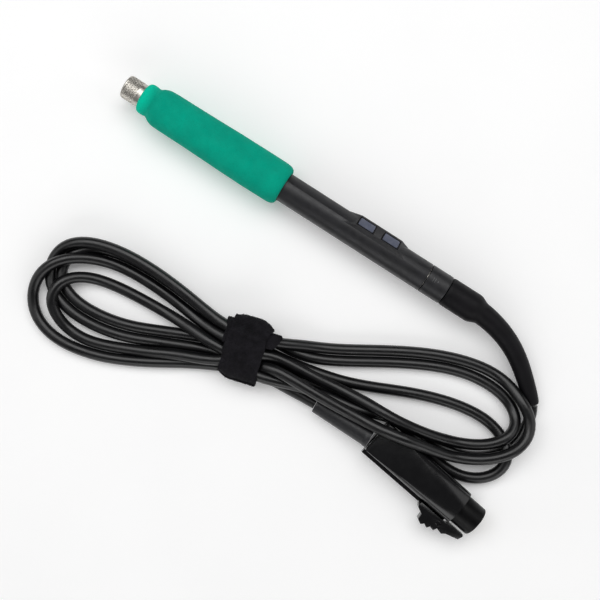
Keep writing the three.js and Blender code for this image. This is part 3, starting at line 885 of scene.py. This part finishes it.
def settle(line, held, radius):
    """Lets the laid cable sink under its own weight onto the table, itself and the connector.

    A strand's plan draws in towards the camera as it rises, so that it keeps its place in the camera's view.
    """
    spacing = float(np.linalg.norm(line[1] - line[0]))
    apart = 2 * radius + CLEARANCE
    skip = int(math.ceil(apart * PAIR_SKIP / spacing))
    eye = np.array(CAMERA_AT)
    target = line[:, :2].copy()
    place = line.copy()
    free = ~held
    met = ("connector_lower_shell", "connector_cover", "connector_sleeve", "cable_boot")
    solids = surface_tree([frame["nodes"][name] for name in met])
    near_solids = np.flatnonzero(free & (line[:, 0] > SOLIDS_FROM))
    for step in range(SETTLE_STEPS):
        height = place[:, 2:3]
        scale = (eye[2] - height) / (eye[2] - PLAN_HEIGHT)
        wanted = eye[:2] + (target - eye[:2]) * scale
        place[free, :2] += PLAN_PULL * (wanted - place[:, :2])[free]
        place[free, 2] -= SINK
        for stride in (1, 3):
            place[free] += STRAIGHTEN * stiffness(place, stride)[free]
        if step % PAIR_EVERY == 0:
            first, second = near_pairs(place, apart + PAIR_REACH, skip)
        push_apart(place, free, target, first, second, apart)
        if step % CLEAR_EVERY == 0 or step > SETTLE_STEPS - LAST_STEPS:
            push_out(place, near_solids, solids, radius + SKIN)
        place[:, 2] = np.maximum(place[:, 2], np.where(free, radius, place[:, 2]))
    return place


class HANDLE_OT_cable(bpy.types.Operator):
    """Lays the cable as the tied hank, from the boot to the connector's sleeve"""
    bl_idname = "handle.cable"
    bl_label = "Cable"

    def execute(self, context):
        radius = sizes().cord_diameter / MM / 2
        anchors, held_anchor = cable_anchors(radius)
        line = along_curve(anchors, ANCHOR_SPACING)
        held = np.zeros(len(line), bool)
        held[: int(LEAD_HELD / ANCHOR_SPACING)] = True
        held[-int(TAIL_HELD / ANCHOR_SPACING) :] = True
        for a, b, hold_a, hold_b in zip(anchors, anchors[1:], held_anchor, held_anchor[1:]):
            if hold_a and hold_b:
                way = b - a
                share = np.clip(((line - a) @ way) / (way @ way), 0, 1)
                held |= np.linalg.norm(line - (a + share[:, None] * way), axis=1) < ON_PASS
        laid = settle(line, held, radius)
        for _ in range(2):
            smoothed(laid)
        laid = evenly(laid, CABLE_SPACING)
        cable = swept_tube("cable", laid, radius, 20)
        shade(cable, 60)
        finish_piece(cable, "cable", replaced=("cord_lead", "cord_hank", "cord_tail"))
        context.scene["cable_length"] = float(np.linalg.norm(np.diff(laid, axis=0), axis=1).sum()) * MM
        context.scene["cable_path"] = [float(v) for v in (laid * MM).ravel()]
        return {"FINISHED"}


# ---------------------------------------------------------------- ferrule and grip

class HANDLE_OT_ferrule(bpy.types.Operator):
    """Turns the nickel ferrule and raises its diamond knurl"""
    bl_idname = "handle.ferrule"
    bl_label = "Ferrule"

    def execute(self, context):
        outer = 5.1
        profile = smooth_profile(
            [(20, 3.3), (20, 4.8), (13.9, 4.8), (13.9, 5.05), (7.1, 5.05), (6.9, outer), (6.2, outer),
             (6.1, 4.95), (0.9, 4.95), (0.75, outer), (0.35, outer), (0.1, 4.9), (0, 4.6), (0, 3.75),
             (0.15, 3.5), (0.5, 3.3), (20, 3.3)], 0.25, 1)
        ferrule = turned_piece("ferrule", profile[:-1], 96)
        shade(ferrule, 40)
        tree = Builder("ferrule_knurl", {
            "Rows": 6,
            "Bumps round": 24,
            "Radius": 4.93 * MM,
            "First row": (FRONT + 1.3) * MM,
            "Row pitch": 0.96 * MM,
            "Bump height": sizes().knurl_height + 0.12 * MM,
            "Bump top": 0.18 * MM,
            "Bump foot": 0.66 * MM,
            "Axis height": AXIS_HEIGHT * MM,
        })
        around = tree.get("Bumps round")
        dots = tree.add("GeometryNodePoints", {"Count": tree.maths("MULTIPLY", tree.get("Rows"), around)})
        index = tree.add("GeometryNodeInputIndex")
        row = tree.maths("FLOOR", tree.maths("DIVIDE", index, around))
        stagger = tree.maths("MULTIPLY", tree.maths("MODULO", row, 2.0), 0.5)
        share = tree.maths("DIVIDE", tree.maths("ADD", tree.maths("MODULO", index, around), stagger), around)
        angle = tree.maths("MULTIPLY", share, TAU)
        across = tree.maths("COSINE", angle)
        rise = tree.maths("SINE", angle)
        radius = tree.get("Radius")
        x = tree.maths("MULTIPLY_ADD", row, tree.get("Row pitch"), tree.get("First row"))
        height = tree.maths("MULTIPLY_ADD", rise, radius, tree.get("Axis height"))
        place = tree.vector(x, tree.maths("MULTIPLY", across, radius), height)
        moved = tree.add("GeometryNodeSetPosition", {"Geometry": dots, "Position": place})
        stud = tree.add("GeometryNodeMeshCone", {
            "Vertices": 4,
            "Radius Top": tree.get("Bump top"),
            "Radius Bottom": tree.get("Bump foot"),
            "Depth": tree.get("Bump height"),
        })
        outward = tree.vector(0.0, across, rise)
        facing = tree.add("FunctionNodeAlignRotationToVector", {"Vector": outward}, axis="Z", pivot_axis="X")
        studs = tree.scatter(moved, stud, facing)
        tree.finish(tree.join(studs, tree.get("Geometry")), "steel", ferrule)
        finish_piece(ferrule, replaced=("front_ferrule",))
        return {"FINISHED"}


class HANDLE_OT_grip(bpy.types.Operator):
    """Makes the green foam grip with its front lip"""
    bl_idname = "handle.grip"
    bl_label = "Foam grip"

    def execute(self, context):
        outside = smooth_profile(
            [(8.6, 5.6), (8.6, 5.9), (8.9, 6.45), (9.9, 6.82), (11.8, 6.82), (12.9, 6.5), (13.4, 6.3),
             (13.9, 6.7), (14.6, 7.3), (15.8, 7.95), (17.6, 8.45), (21, 8.6), (30, 8.65), (42, 8.85),
             (52, 9.05), (64, 9.15), (74.5, 9.12), (76.6, 8.9), (77.8, 8.3), (78.35, 7.6),
             (78.4, 7.1)], 0.4, 3)
        inside = smooth_profile([(78.4, 6.9), (78.2, 6.62), (14.2, 6.12), (14.1, 5.6), (8.7, 5.58)], 2.0, 0)
        grip = turned_piece("foam_grip", outside + inside, 110)
        wander = sizes().foam_unevenness
        middle = Vector((0, 0, AXIS_HEIGHT * MM))
        bore_wall = 6.7 * MM
        lip_end = (FRONT + 12) * MM
        for vertex in grip.data.vertices:
            away = vertex.co - middle
            away.x = 0
            if away.length > bore_wall or vertex.co.x < lip_end:
                dent = perlin(vertex.co * 55) * 0.7 + perlin(vertex.co * 160) * 0.3
                vertex.co += away.normalized() * dent * wander - away.normalized() * wander * 0.5
        shade(grip, 60)
        finish_piece(grip, "foam", replaced=("grip_sleeve",))
        return {"FINISHED"}


# ---------------------------------------------------------------- handle
MARK_FOOT = 6.25
MARK_FACE = 6.36
# The collar mark's bars: the stations where each starts and stops, then the angles where it does.
MARK_BARS = [(151.0, 151.25, 1.33, 1.63), (151.9, 152.15, 1.33, 1.63), (153.1, 153.5, 1.42, 1.52)]


class HANDLE_OT_tube(bpy.types.Operator):
    """Makes the tube with its button deck, the collar ring and its alignment mark"""
    bl_idname = "handle.tube"
    bl_label = "Tube and collar"

    def execute(self, context):
        edge = sizes().edge_round / MM
        tube = from_cad("handle_tube", "tube", edge, 3)
        shade(tube, 32)
        finish_piece(tube, "housing", replaced=("handle_tube",))
        ring = smooth_profile(
            [(158.5, 5.1), (158.5, 5.95), (158.3, 6.25), (158.0, 6.32), (148.9, 6.32), (148.75, 6.25),
             (148.6, 5.95), (148.6, 5.1), (158.5, 5.1)], 0.4, 0)
        collar = turned_piece("collar", ring[:-1], 96)
        shade(collar, 25)
        finish_piece(collar, "housing", replaced=("rear_collar",))
        points = []
        faces = []
        steps = 6
        for x0, x1, start, stop in MARK_BARS:
            base = len(points)
            for i in range(steps + 1):
                angle = start + (stop - start) * i / steps
                for x, radius in ((x0, MARK_FOOT), (x0, MARK_FACE), (x1, MARK_FACE), (x1, MARK_FOOT)):
                    points.append(handle_point(x, radius * math.cos(angle), radius * math.sin(angle)))
            faces += [tuple(base + corner for corner in face) for face in ring_faces(steps + 1, 4)]
            faces += [(base, base + 1, base + 2, base + 3), tuple(base + 4 * steps + j for j in (3, 2, 1, 0))]
        mark = mesh_piece("collar_mark", points, faces)
        point_faces_out(mark.data)
        shade(mark, 30)
        finish_piece(mark, "mark")
        return {"FINISHED"}


DECK_FACE = 6.7  # height of the deck's face off the handle's axis
WELL_HALF = (3.75, 2.45)  # half a button well's length and width
RIM_WIDTH = 0.42
RIM_RISE = 0.09
RIM_DEPTH = 0.5


def button_rims():
    """The thin black rims of the two button wells, darker than the housing: painted shade for the gaps round
    the buttons.
    """
    points = []
    faces = []
    for station in BUTTON_STATIONS:
        base = len(points)
        for grow, height in (
                (0.0, -RIM_DEPTH), (0.0, RIM_RISE), (RIM_WIDTH, RIM_RISE), (RIM_WIDTH, -RIM_DEPTH)):
            long = WELL_HALF[0] + grow
            wide = WELL_HALF[1] + grow
            for along, across in ((-long, -wide), (long, -wide), (long, wide), (-long, wide)):
                points.append(deck_point(station + along, across, DECK_FACE + height))
        faces += [tuple(base + corner for corner in face) for face in ring_faces(4, 4, True)]
    rims = mesh_piece("button_rims", points, faces)
    point_faces_out(rims.data)
    round_edges(rims, 0.06, 2)
    shade(rims, 40)
    # the rims' darker black is painted shade for the gap round each button
    return finish_piece(rims, "barrel")


class HANDLE_OT_buttons(bpy.types.Operator):
    """Makes the two push buttons, each riding on its own body, and the dark rims round them that paint the
    shade of their gaps
    """
    bl_idname = "handle.buttons"
    bl_label = "Buttons"

    def execute(self, context):
        for place in ("front", "rear"):
            cap = from_cad(f"{place}_button", f"{place}_cap", 0.16, 2, 25)
            shade(cap, 40)
            finish_piece(cap, "button", f"{place}_button", (f"{place}_button",))
        button_rims()
        return {"FINISHED"}


BOOT_ROUTE = [(79.6, 0, 9.15), (87, 0, 9.15), (94.4, 0, 9.05), (99, -0.2, 8.9), (105, -1.2, 8.3),
              (111, -2.9, 7.5), (117, -5.5, 6.5), (122.6, -8.9, 5.6), (127.8, -12.8, 4.7), (132.6, -16.8, 4),
              (136.6, -20.6, 3.5)]
BOOT_SIDES = 64
BOOT_SOCKET = 6.3
BOOT_NECK = 4.75
BOOT_TIP = 3.25
SHOULDER_START = 0.205
SHOULDER_END = 0.285


def ease(value, start, stop):
    """0 before start, 1 past stop, and a smooth step between."""
    share = min(1.0, max(0.0, (value - start) / (stop - start)))
    return share * share * (3 - 2 * share)


def boot_radius(share):
    """Radius of the boot at a share of its length: a straight socket, a shoulder, then a long taper."""
    if share < SHOULDER_END:
        return BOOT_SOCKET + (BOOT_NECK - BOOT_SOCKET) * ease(share, SHOULDER_START, SHOULDER_END)
    return BOOT_NECK + (BOOT_TIP - BOOT_NECK) * (share - SHOULDER_END) / (1 - SHOULDER_END)


class HANDLE_OT_boot(bpy.types.Operator):
    """Makes the moulded cable boot with its parting line"""
    bl_idname = "handle.boot"
    bl_label = "Cable boot"

    def execute(self, context):
        line = along_curve(np.array(BOOT_ROUTE), 0.7)
        radii = np.array([boot_radius(share) for share in np.linspace(0, 1, len(line))])
        radii[[0, 1, -2, -1]] -= (0.22, 0.04, 0.1, 0.35)
        boot = swept_tube("boot", line, radii, BOOT_SIDES, 0.75)
        vertices = boot.data.vertices
        for i, centre in enumerate(line):
            for j in (0, BOOT_SIDES // 2):
                vertex = vertices[(i + 1) * BOOT_SIDES + j]
                vertex.co += (vertex.co - Vector(centre * MM)) * 0.012
        shade(boot, 50)
        finish_piece(boot, "rubber", replaced=("cable_boot",))
        return {"FINISHED"}


# ---------------------------------------------------------------- strap
# The strap's middle line as (along, across, height) about its centre. It winds about one and three quarter
# times round the hank and stands further out on one side.
STRAP_ROUTE = [
    (-1.0, 2.0, 11.75), (-1.2, 7.0, 11.85), (-1.4, 10.4, 11.0), (-1.5, 12.1, 8.6), (-1.3, 12.3, 5.2),
    (-0.8, 10.9, 2.3), (-0.3, 8.0, 1.15), (0, 0, 1.12), (0, -8, 1.15), (0, -10.6, 2.4), (0, -11.6, 5.4),
    (0, -11.4, 8.6), (0, -9.6, 10.9), (0, -6, 11.7), (0, -1, 12.1), (0.1, 3.5, 12.7), (0.4, 8.0, 12.9),
    (1.2, 12, 12.3), (1.5, 14.2, 10.6), (1.5, 14.9, 7.8), (1.2, 14.2, 4.4), (0.6, 11.6, 1.4),
    (0.2, 8.2, 0.45), (0, 0, 0.42), (0, -8, 0.45), (0, -11.4, 1.5), (0, -12.5, 4.4), (0.1, -12.6, 7.6),
]
TAB_CORNERS = [(6.6, 3.6, 12.0), (12.2, 4.1, 11.5), (14.9, 10.5, 10.6), (6.6, 10.9, 11.8)]


STRAP_LOWEST = 0.36  # height of the strap's middle surface where it lies on the table
STRAP_ACROSS = 40
STRAP_LONG = 280
LIFT_ABOVE = 7  # only the strap's top is lifted off the strands
INNER_SHARE = 0.45  # share of the strap's length that is its inner turn
INNER_CLEAR = 0.5
OUTER_CLEAR = 1.2
MOST_LIFT = 3.0
SPREAD_ROUNDS = 6


def thick_strap(name, points, faces, uv, rough=0.0):
    """A piece of strap from its middle surface. rough is how uneven it is, in millimetres."""
    piece = mesh_piece(name, points, faces, uv)
    if rough:
        for vertex in piece.data.vertices:
            uneven = perlin(vertex.co * 900) * 0.7 + perlin(vertex.co * 260)
            vertex.co += vertex.normal * uneven * rough * MM
            vertex.co.z = max(vertex.co.z, STRAP_LOWEST * MM)
    shell = piece.modifiers.new("thickness", "SOLIDIFY")
    shell.thickness = sizes().strap_thickness
    shell.offset = 0
    as_plain_mesh(piece)
    point_faces_out(piece.data)
    shade(piece, 50)
    return piece


def strap_grid(width):
    """Points of the strap's middle surface, their UV and the strap's length, in millimetres."""
    spine = along_curve(np.array(STRAP_ROUTE, float), 0.25)
    way = distances(spine[:, 1:])
    long = way[-1]
    points = []
    uv = []
    for i in range(STRAP_LONG + 1):
        for j in range(STRAP_ACROSS + 1):
            w = 2 * j / STRAP_ACROSS - 1
            corner = max(0.0, -w - 0.55) / 0.45
            end = long - 0.9 * (1 - w) - 2.0 * corner * corner
            begin = 0.4 * (1 + w) + 1.2 * max(0.0, w - 0.7) ** 2 / 0.09
            station = begin + (end - begin) * i / STRAP_LONG
            shift, across, height = (float(np.interp(station, way, spine[:, k])) for k in range(3))
            ripple = 0.22 * math.sin(station * 0.42 + 1.3 * w) + 0.15 * math.sin(station * 0.9 + 2)
            along = shift + w * width / 2 + ripple * abs(w) ** 3
            lobe = ease(across, 10.0, 14.0) * (station > long / 2)
            across -= lobe * (3.2 * max(0.0, (w - 0.1) / 0.9) ** 2.4 + 0.7 * ease(-w, 0.5, 1.0))
            tuck = ease(-across, 8.0, 12.0)
            across += tuck * (1.7 * ease(-w, 0.3, 1.1) - 0.3 * ease(w, 0.6, 1.0))
            points.append(strap_place(along, across, max(height, STRAP_LOWEST)))
            uv.append((station * MM, along * MM))
    return points, uv, long


def clear_of_cable(points):
    """Lifts the strap's points off the strands that they would cut, and their neighbours with them."""
    tree = surface_tree([bpy.data.objects["cable"]])
    place = np.array(points)
    lift = np.zeros(len(place))
    for i, (x, y, height) in enumerate(points):
        if height >= LIFT_ABOVE:
            clear = INNER_CLEAR if i < len(place) * INNER_SHARE else OUTER_CLEAR
            above = tree.ray_cast((x, y, 30.0), (0, 0, -1))[0]
            if above is not None and above.z + clear > height:
                lift[i] = min(above.z + clear - height, MOST_LIFT)
    lift = lift.reshape(-1, STRAP_ACROSS + 1)
    for _ in range(SPREAD_ROUNDS):
        wide = np.pad(lift, 1, mode="edge")
        around = (wide[:-2, 1:-1] + wide[2:, 1:-1] + wide[1:-1, :-2] + wide[1:-1, 2:]) / 4
        lift = np.maximum(lift, around)
    place[:, 2] += lift.ravel()
    return [tuple(p) for p in place]


def strap_tab():
    """The strap's short starting tab, which looks out from under the outer turn."""
    steps = 16
    points = []
    uv = []
    near_left, near_right, far_right, far_left = (np.array(p) for p in TAB_CORNERS)
    for i in range(steps + 1):
        for j in range(steps + 1):
            u = i / steps
            v = j / steps
            spot = (near_left * (1 - u) + near_right * u) * (1 - v) + (far_left * (1 - u) + far_right * u) * v
            droop = 0.9 * ease(v, 0.7, 1.05) + 0.35 * ease(u, 0.5, 1.0)
            spot[0] -= 1.1 * ease(u, 0.8, 1.0) * (ease(v, 0.85, 1.0) + ease(-v, -0.12, 0.0))
            points.append(strap_place(spot[0], spot[1], spot[2] - droop))
            uv.append((spot[1] * MM, spot[0] * MM))
    tab = thick_strap("strap_tab", points, grid_faces(steps, steps), uv)
    return finish_piece(tab, "strap")


def grow_pile(pile, area):
    """Scatters loose loops over pile's faces, which cover area square metres, and leaves only the loops."""
    tree = Builder("loop_pile", {
        "Loops": sizes().pile_strands,
        "Loop length": 0.75 * MM,
        "Thread radius": 0.04 * MM,
        "Lean": 1.1,
        "Seed": 7,
    })
    scattered = node(tree.tree, "GeometryNodeDistributePointsOnFaces", {
        "Mesh": tree.get("Geometry"),
        "Density": tree.maths("DIVIDE", tree.get("Loops"), area),
        "Seed": tree.get("Seed"),
    }).outputs
    size = tree.get("Loop length")
    arc = tree.add("GeometryNodeCurveQuadraticBezier", {
        "Resolution": 4,
        "Start": tree.vector(0.0, 0.0, 0.0),
        "Middle": tree.vector(tree.maths("MULTIPLY", size, 0.2), 0.0, size),
        "End": tree.vector(tree.maths("MULTIPLY", size, 0.8), 0.0, tree.maths("MULTIPLY", size, 0.1))})
    radius = tree.get("Thread radius")
    ring = tree.add("GeometryNodeCurvePrimitiveCircle", {"Resolution": 3, "Radius": radius})
    thread = tree.add("GeometryNodeCurveToMesh", {"Curve": arc, "Profile Curve": ring})
    turn = scattered["Rotation"]
    lean = tree.vector(tree.get("Lean"), tree.get("Lean"), 0.0)
    for most, seed in (((0.0, 0.0, TAU), 3), (lean, 5)):
        angles = tree.add("FunctionNodeRandomValue", {"Max": most, "Seed": seed}, data_type="FLOAT_VECTOR")
        spin = tree.add("FunctionNodeEulerToRotation", {0: angles})
        turn = tree.add("FunctionNodeRotateRotation", {0: turn, 1: spin}, rotation_space="LOCAL")
    grown = node(tree.tree, "FunctionNodeRandomValue", {2: 0.5, 3: 1.25, "Seed": 9}, data_type="FLOAT")
    loops = tree.scatter(scattered["Points"], thread, turn, grown.outputs[1])
    return tree.finish(loops, "strap", pile)


class HANDLE_OT_strap(bpy.types.Operator):
    """Winds the hook-and-loop strap round the hank and gives it its pile of loose loops"""
    bl_idname = "handle.strap"
    bl_label = "Strap"

    def execute(self, context):
        width = sizes().strap_width / MM
        points, uv, long = strap_grid(width)
        strap = thick_strap("strap", clear_of_cable(points), grid_faces(STRAP_LONG, STRAP_ACROSS), uv, 0.1)
        pile = new_object("strap_pile", strap.data.copy())
        pile.data.name = "strap_pile"
        grow_pile(pile, width * long * 2 * MM * MM)
        keep_above_table(pile)
        keep_above_table(strap)
        tab = strap_tab()
        finish_piece(strap, "strap", replaced=("cable_strap",))
        finish_piece(pile)
        return {"FINISHED"}


# ---------------------------------------------------------------- connector
SLEEVE_START = (59.6, -69.55, 3.95)
SLEEVE_END = (86.2, -68.85, 6.9)
SLEEVE_RADIUS = 3.75
SLEEVE_GROWTH = 0.8  # how much wider it is at its end
SLEEVE_LIP = 3.62
COLLAR_FROM = 0.94  # share of its length past which its end collar starts
COLLAR_RADIUS = 4.72
CONTACTS = 6


class HANDLE_OT_connector(bpy.types.Operator):
    """Makes the connector's sleeve, shells, nose and contact insert"""
    bl_idname = "handle.connector"
    bl_label = "Connector"

    def execute(self, context):
        line = evenly(np.array([SLEEVE_START, SLEEVE_END]), 0.5)
        shares = np.linspace(0, 1, len(line))
        radii = SLEEVE_RADIUS + SLEEVE_GROWTH * shares
        radii[0] = SLEEVE_LIP
        radii[shares > COLLAR_FROM] = COLLAR_RADIUS
        sleeve = swept_tube("cable_sleeve", line, radii, 48, 0.8)
        shade(sleeve, 40)
        finish_piece(sleeve, "housing", replaced=("connector_sleeve",))
        edge = sizes().edge_round / MM
        for source, name, rounding, look in (("connector_lower_shell", "lower_shell", edge * 0.8, "gloss"),
                                             ("connector_cover", "cover", edge * 1.6, "gloss"),
                                             ("connector_nose", "nose", 0.25, "barrel")):
            piece = from_cad(source, name, rounding, 3)
            shade(piece, 32)
            finish_piece(piece, look, replaced=(source,))
        insert = from_cad("contact_insert", "insert", 0.14, 2)
        shade(insert, 32)
        finish_piece(insert, "insulator", replaced=("contact_insert",))
        return {"FINISHED"}


class HANDLE_OT_contacts(bpy.types.Operator):
    """Sets the round-tipped contact pins on their circle"""
    bl_idname = "handle.contacts"
    bl_label = "Contact pins"

    def execute(self, context):
        pins = new_object("contact_pins")
        tree = Builder("contact_pins", {
            "Pins": CONTACTS,
            "Circle radius": 2.9 * MM,
            "Pin radius": 0.75 * MM,
            "Pin length": 7.2 * MM,
            "Foot": 0.5 * MM,
        })
        place_in_ring = tree.maths("ADD", tree.add("GeometryNodeInputIndex"), 0.5)
        angle = tree.maths("MULTIPLY", tree.maths("DIVIDE", place_in_ring, tree.get("Pins")), TAU)
        circle = tree.get("Circle radius")
        place = tree.vector(tree.get("Foot"), tree.maths("MULTIPLY", tree.maths("COSINE", angle), circle),
                            tree.maths("MULTIPLY", tree.maths("SINE", angle), circle))
        dots = tree.add("GeometryNodePoints", {"Count": tree.get("Pins"), "Position": place})
        radius = tree.get("Pin radius")
        long = tree.get("Pin length")
        shank = tree.add("GeometryNodeMeshCylinder", {"Vertices": 24, "Radius": radius, "Depth": long})
        raised = tree.move(shank, tree.vector(0.0, 0.0, tree.maths("MULTIPLY", long, 0.5)))
        tip = tree.add("GeometryNodeMeshUVSphere", {"Segments": 24, "Rings": 12, "Radius": radius})
        pin = tree.join(raised, tree.move(tip, tree.vector(0.0, 0.0, long)))
        ring = tree.scatter(dots, pin, (0.0, math.pi / 2, 0.0))
        tree.finish(tree.on_connector(ring), "brass", pins)
        shade(pins, 40)
        finish_piece(pins, replaced=tuple(f"contact_{i + 1}" for i in range(CONTACTS)))
        return {"FINISHED"}


def machine_screw(name):
    """A pan-head screw with a cross recess, head down, its head's face at z = 0."""
    outline = [(0.35, 0.0), (1.1, 0.0), (1.5, 0.06), (1.8, 0.28), (1.8, 0.9), (0.9, 0.9), (0.9, 9.5)]
    sides = 32
    circle = unit_circle(sides)
    points = [(radius * c, radius * s, height) for radius, height in outline for c, s in circle]
    last = len(points) - sides
    ends = [tuple(range(sides)), tuple(range(last, last + sides))]
    screw = mesh_piece(name, points, ring_faces(len(outline), sides) + ends)
    point_faces_out(screw.data)
    for turn in (0, math.pi / 2):
        cut = bmesh.new()
        place = Matrix.Rotation(turn, 4, "Z") @ Matrix.Diagonal((1.9 * MM, 0.42 * MM, 1.1 * MM, 1.0))
        bmesh.ops.create_cube(cut, size=1.0, matrix=place)
        blade = new_object("blade")
        cut.to_mesh(blade.data)
        cut.free()
        slotting = screw.modifiers.new("slot", "BOOLEAN")
        slotting.operation = "DIFFERENCE"
        slotting.solver = "EXACT"
        slotting.object = blade
        as_plain_mesh(screw)
        bpy.data.objects.remove(blade)
    return screw


class HANDLE_OT_screws(bpy.types.Operator):
    """Drives the two screws that hold the connector's halves"""
    bl_idname = "handle.screws"
    bl_label = "Screws"

    def execute(self, context):
        pattern = machine_screw("screw_pattern")
        screws = new_object("shell_screws")
        tree = Builder("shell_screws", {
            "Screws": 2,
            "First station": -23.5 * MM,
            "Pitch": 11.5 * MM,
            "Height": -6.8 * MM,
        })
        index = tree.add("GeometryNodeInputIndex")
        along = tree.maths("MULTIPLY_ADD", index, tree.get("Pitch"), tree.get("First station"))
        place = tree.vector(along, 0.0, tree.get("Height"))
        dots = tree.add("GeometryNodePoints", {"Count": tree.get("Screws"), "Position": place})
        model = node(tree.tree, "GeometryNodeObjectInfo", {"Object": pattern}).outputs["Geometry"]
        twist = tree.vector(0.0, 0.0, tree.maths("MULTIPLY_ADD", index, 0.7, 0.3))
        tree.finish(tree.on_connector(tree.scatter(dots, model, twist)), "steel", screws)
        bpy.data.objects.remove(pattern)
        shade(screws, 35)
        finish_piece(screws, replaced=("shell_screw_1", "shell_screw_2"))
        return {"FINISHED"}


class HANDLE_OT_latch(bpy.types.Operator):
    """Makes the ribbed side latch, which rides on its own body"""
    bl_idname = "handle.latch"
    bl_label = "Latch"

    def execute(self, context):
        latch = from_cad("latch_lever", "latch", 0.28, 2, 20)
        shade(latch, 35)
        finish_piece(latch, "gloss", "latch", ("latch_lever",))
        return {"FINISHED"}


# ---------------------------------------------------------------- what stays as the frame has it
KEPT = {
    "steel": ["socket_tube", "bayonet_sleeve", "latch_spring"],
    "gloss": ["latch_pin"],
    "brass": ["contact_ring", "centre_contact"],
    "insulator": ["guide_bush", "contact_insulator", "socket_end_plug", "cord_clamp"],
    "copper": ["power_wire", "sensor_wire", "earth_wire"],
    "board": ["switch_board"],
    "housing": ["front_switch", "rear_switch", "front_plunger", "rear_plunger"],
    "rubber": ["cable_end"],
}


class HANDLE_OT_inside(bpy.types.Operator):
    """Gives the pieces inside the handle and the connector their finishes"""
    bl_idname = "handle.inside"
    bl_label = "Inner pieces"

    def execute(self, context):
        for name, nodes in KEPT.items():
            for piece in nodes:
                mesh = frame["nodes"][piece].data
                mesh.materials.clear()
                mesh.materials.append(material(name))
        return {"FINISHED"}


class HANDLE_OT_declare(bpy.types.Operator):
    """Takes no step of its own: the cable's length and path are already stored by the cable step"""
    bl_idname = "handle.declare"
    bl_label = "Cable facts"

    def execute(self, context):
        return {"FINISHED"}


class HANDLE_PT_panel(bpy.types.Panel):
    """Lists the sizes, the colours and the pieces"""
    bl_idname = "HANDLE_PT_panel"
    bl_label = "Soldering handle"
    bl_space_type = "VIEW_3D"
    bl_region_type = "UI"
    bl_category = "Soldering handle"

    def draw(self, context):
        layout = self.layout
        for group in (context.scene.handle_sizes, context.scene.handle_colours):
            box = layout.box()
            for name in group.bl_rna.properties.keys():
                if name not in ("rna_type", "name"):
                    box.prop(group, name)
        for made in STEPS:
            layout.operator(made.bl_idname)


STEPS = [HANDLE_OT_stage, HANDLE_OT_cable, HANDLE_OT_ferrule, HANDLE_OT_grip, HANDLE_OT_tube,
         HANDLE_OT_buttons, HANDLE_OT_boot, HANDLE_OT_strap, HANDLE_OT_connector, HANDLE_OT_contacts,
         HANDLE_OT_screws, HANDLE_OT_latch, HANDLE_OT_inside, HANDLE_OT_declare]
CLASSES = [HandleSizes, HandleColours, *STEPS, HANDLE_PT_panel]


def register():
    for made in CLASSES:
        bpy.utils.register_class(made)
    bpy.types.Scene.handle_sizes = bpy.props.PointerProperty(type=HandleSizes)
    bpy.types.Scene.handle_colours = bpy.props.PointerProperty(type=HandleColours)


def unregister():
    del bpy.types.Scene.handle_colours
    del bpy.types.Scene.handle_sizes
    for made in reversed(CLASSES):
        bpy.utils.unregister_class(made)


def main():
    register()
    bpy.ops.handle.stage()
    bpy.ops.handle.cable()
    bpy.ops.handle.ferrule()
    bpy.ops.handle.grip()
    bpy.ops.handle.tube()
    bpy.ops.handle.buttons()
    bpy.ops.handle.boot()
    bpy.ops.handle.strap()
    bpy.ops.handle.connector()
    bpy.ops.handle.contacts()
    bpy.ops.handle.screws()
    bpy.ops.handle.latch()
    bpy.ops.handle.inside()
    bpy.ops.handle.declare()


if __name__ == "__main__":
    main()
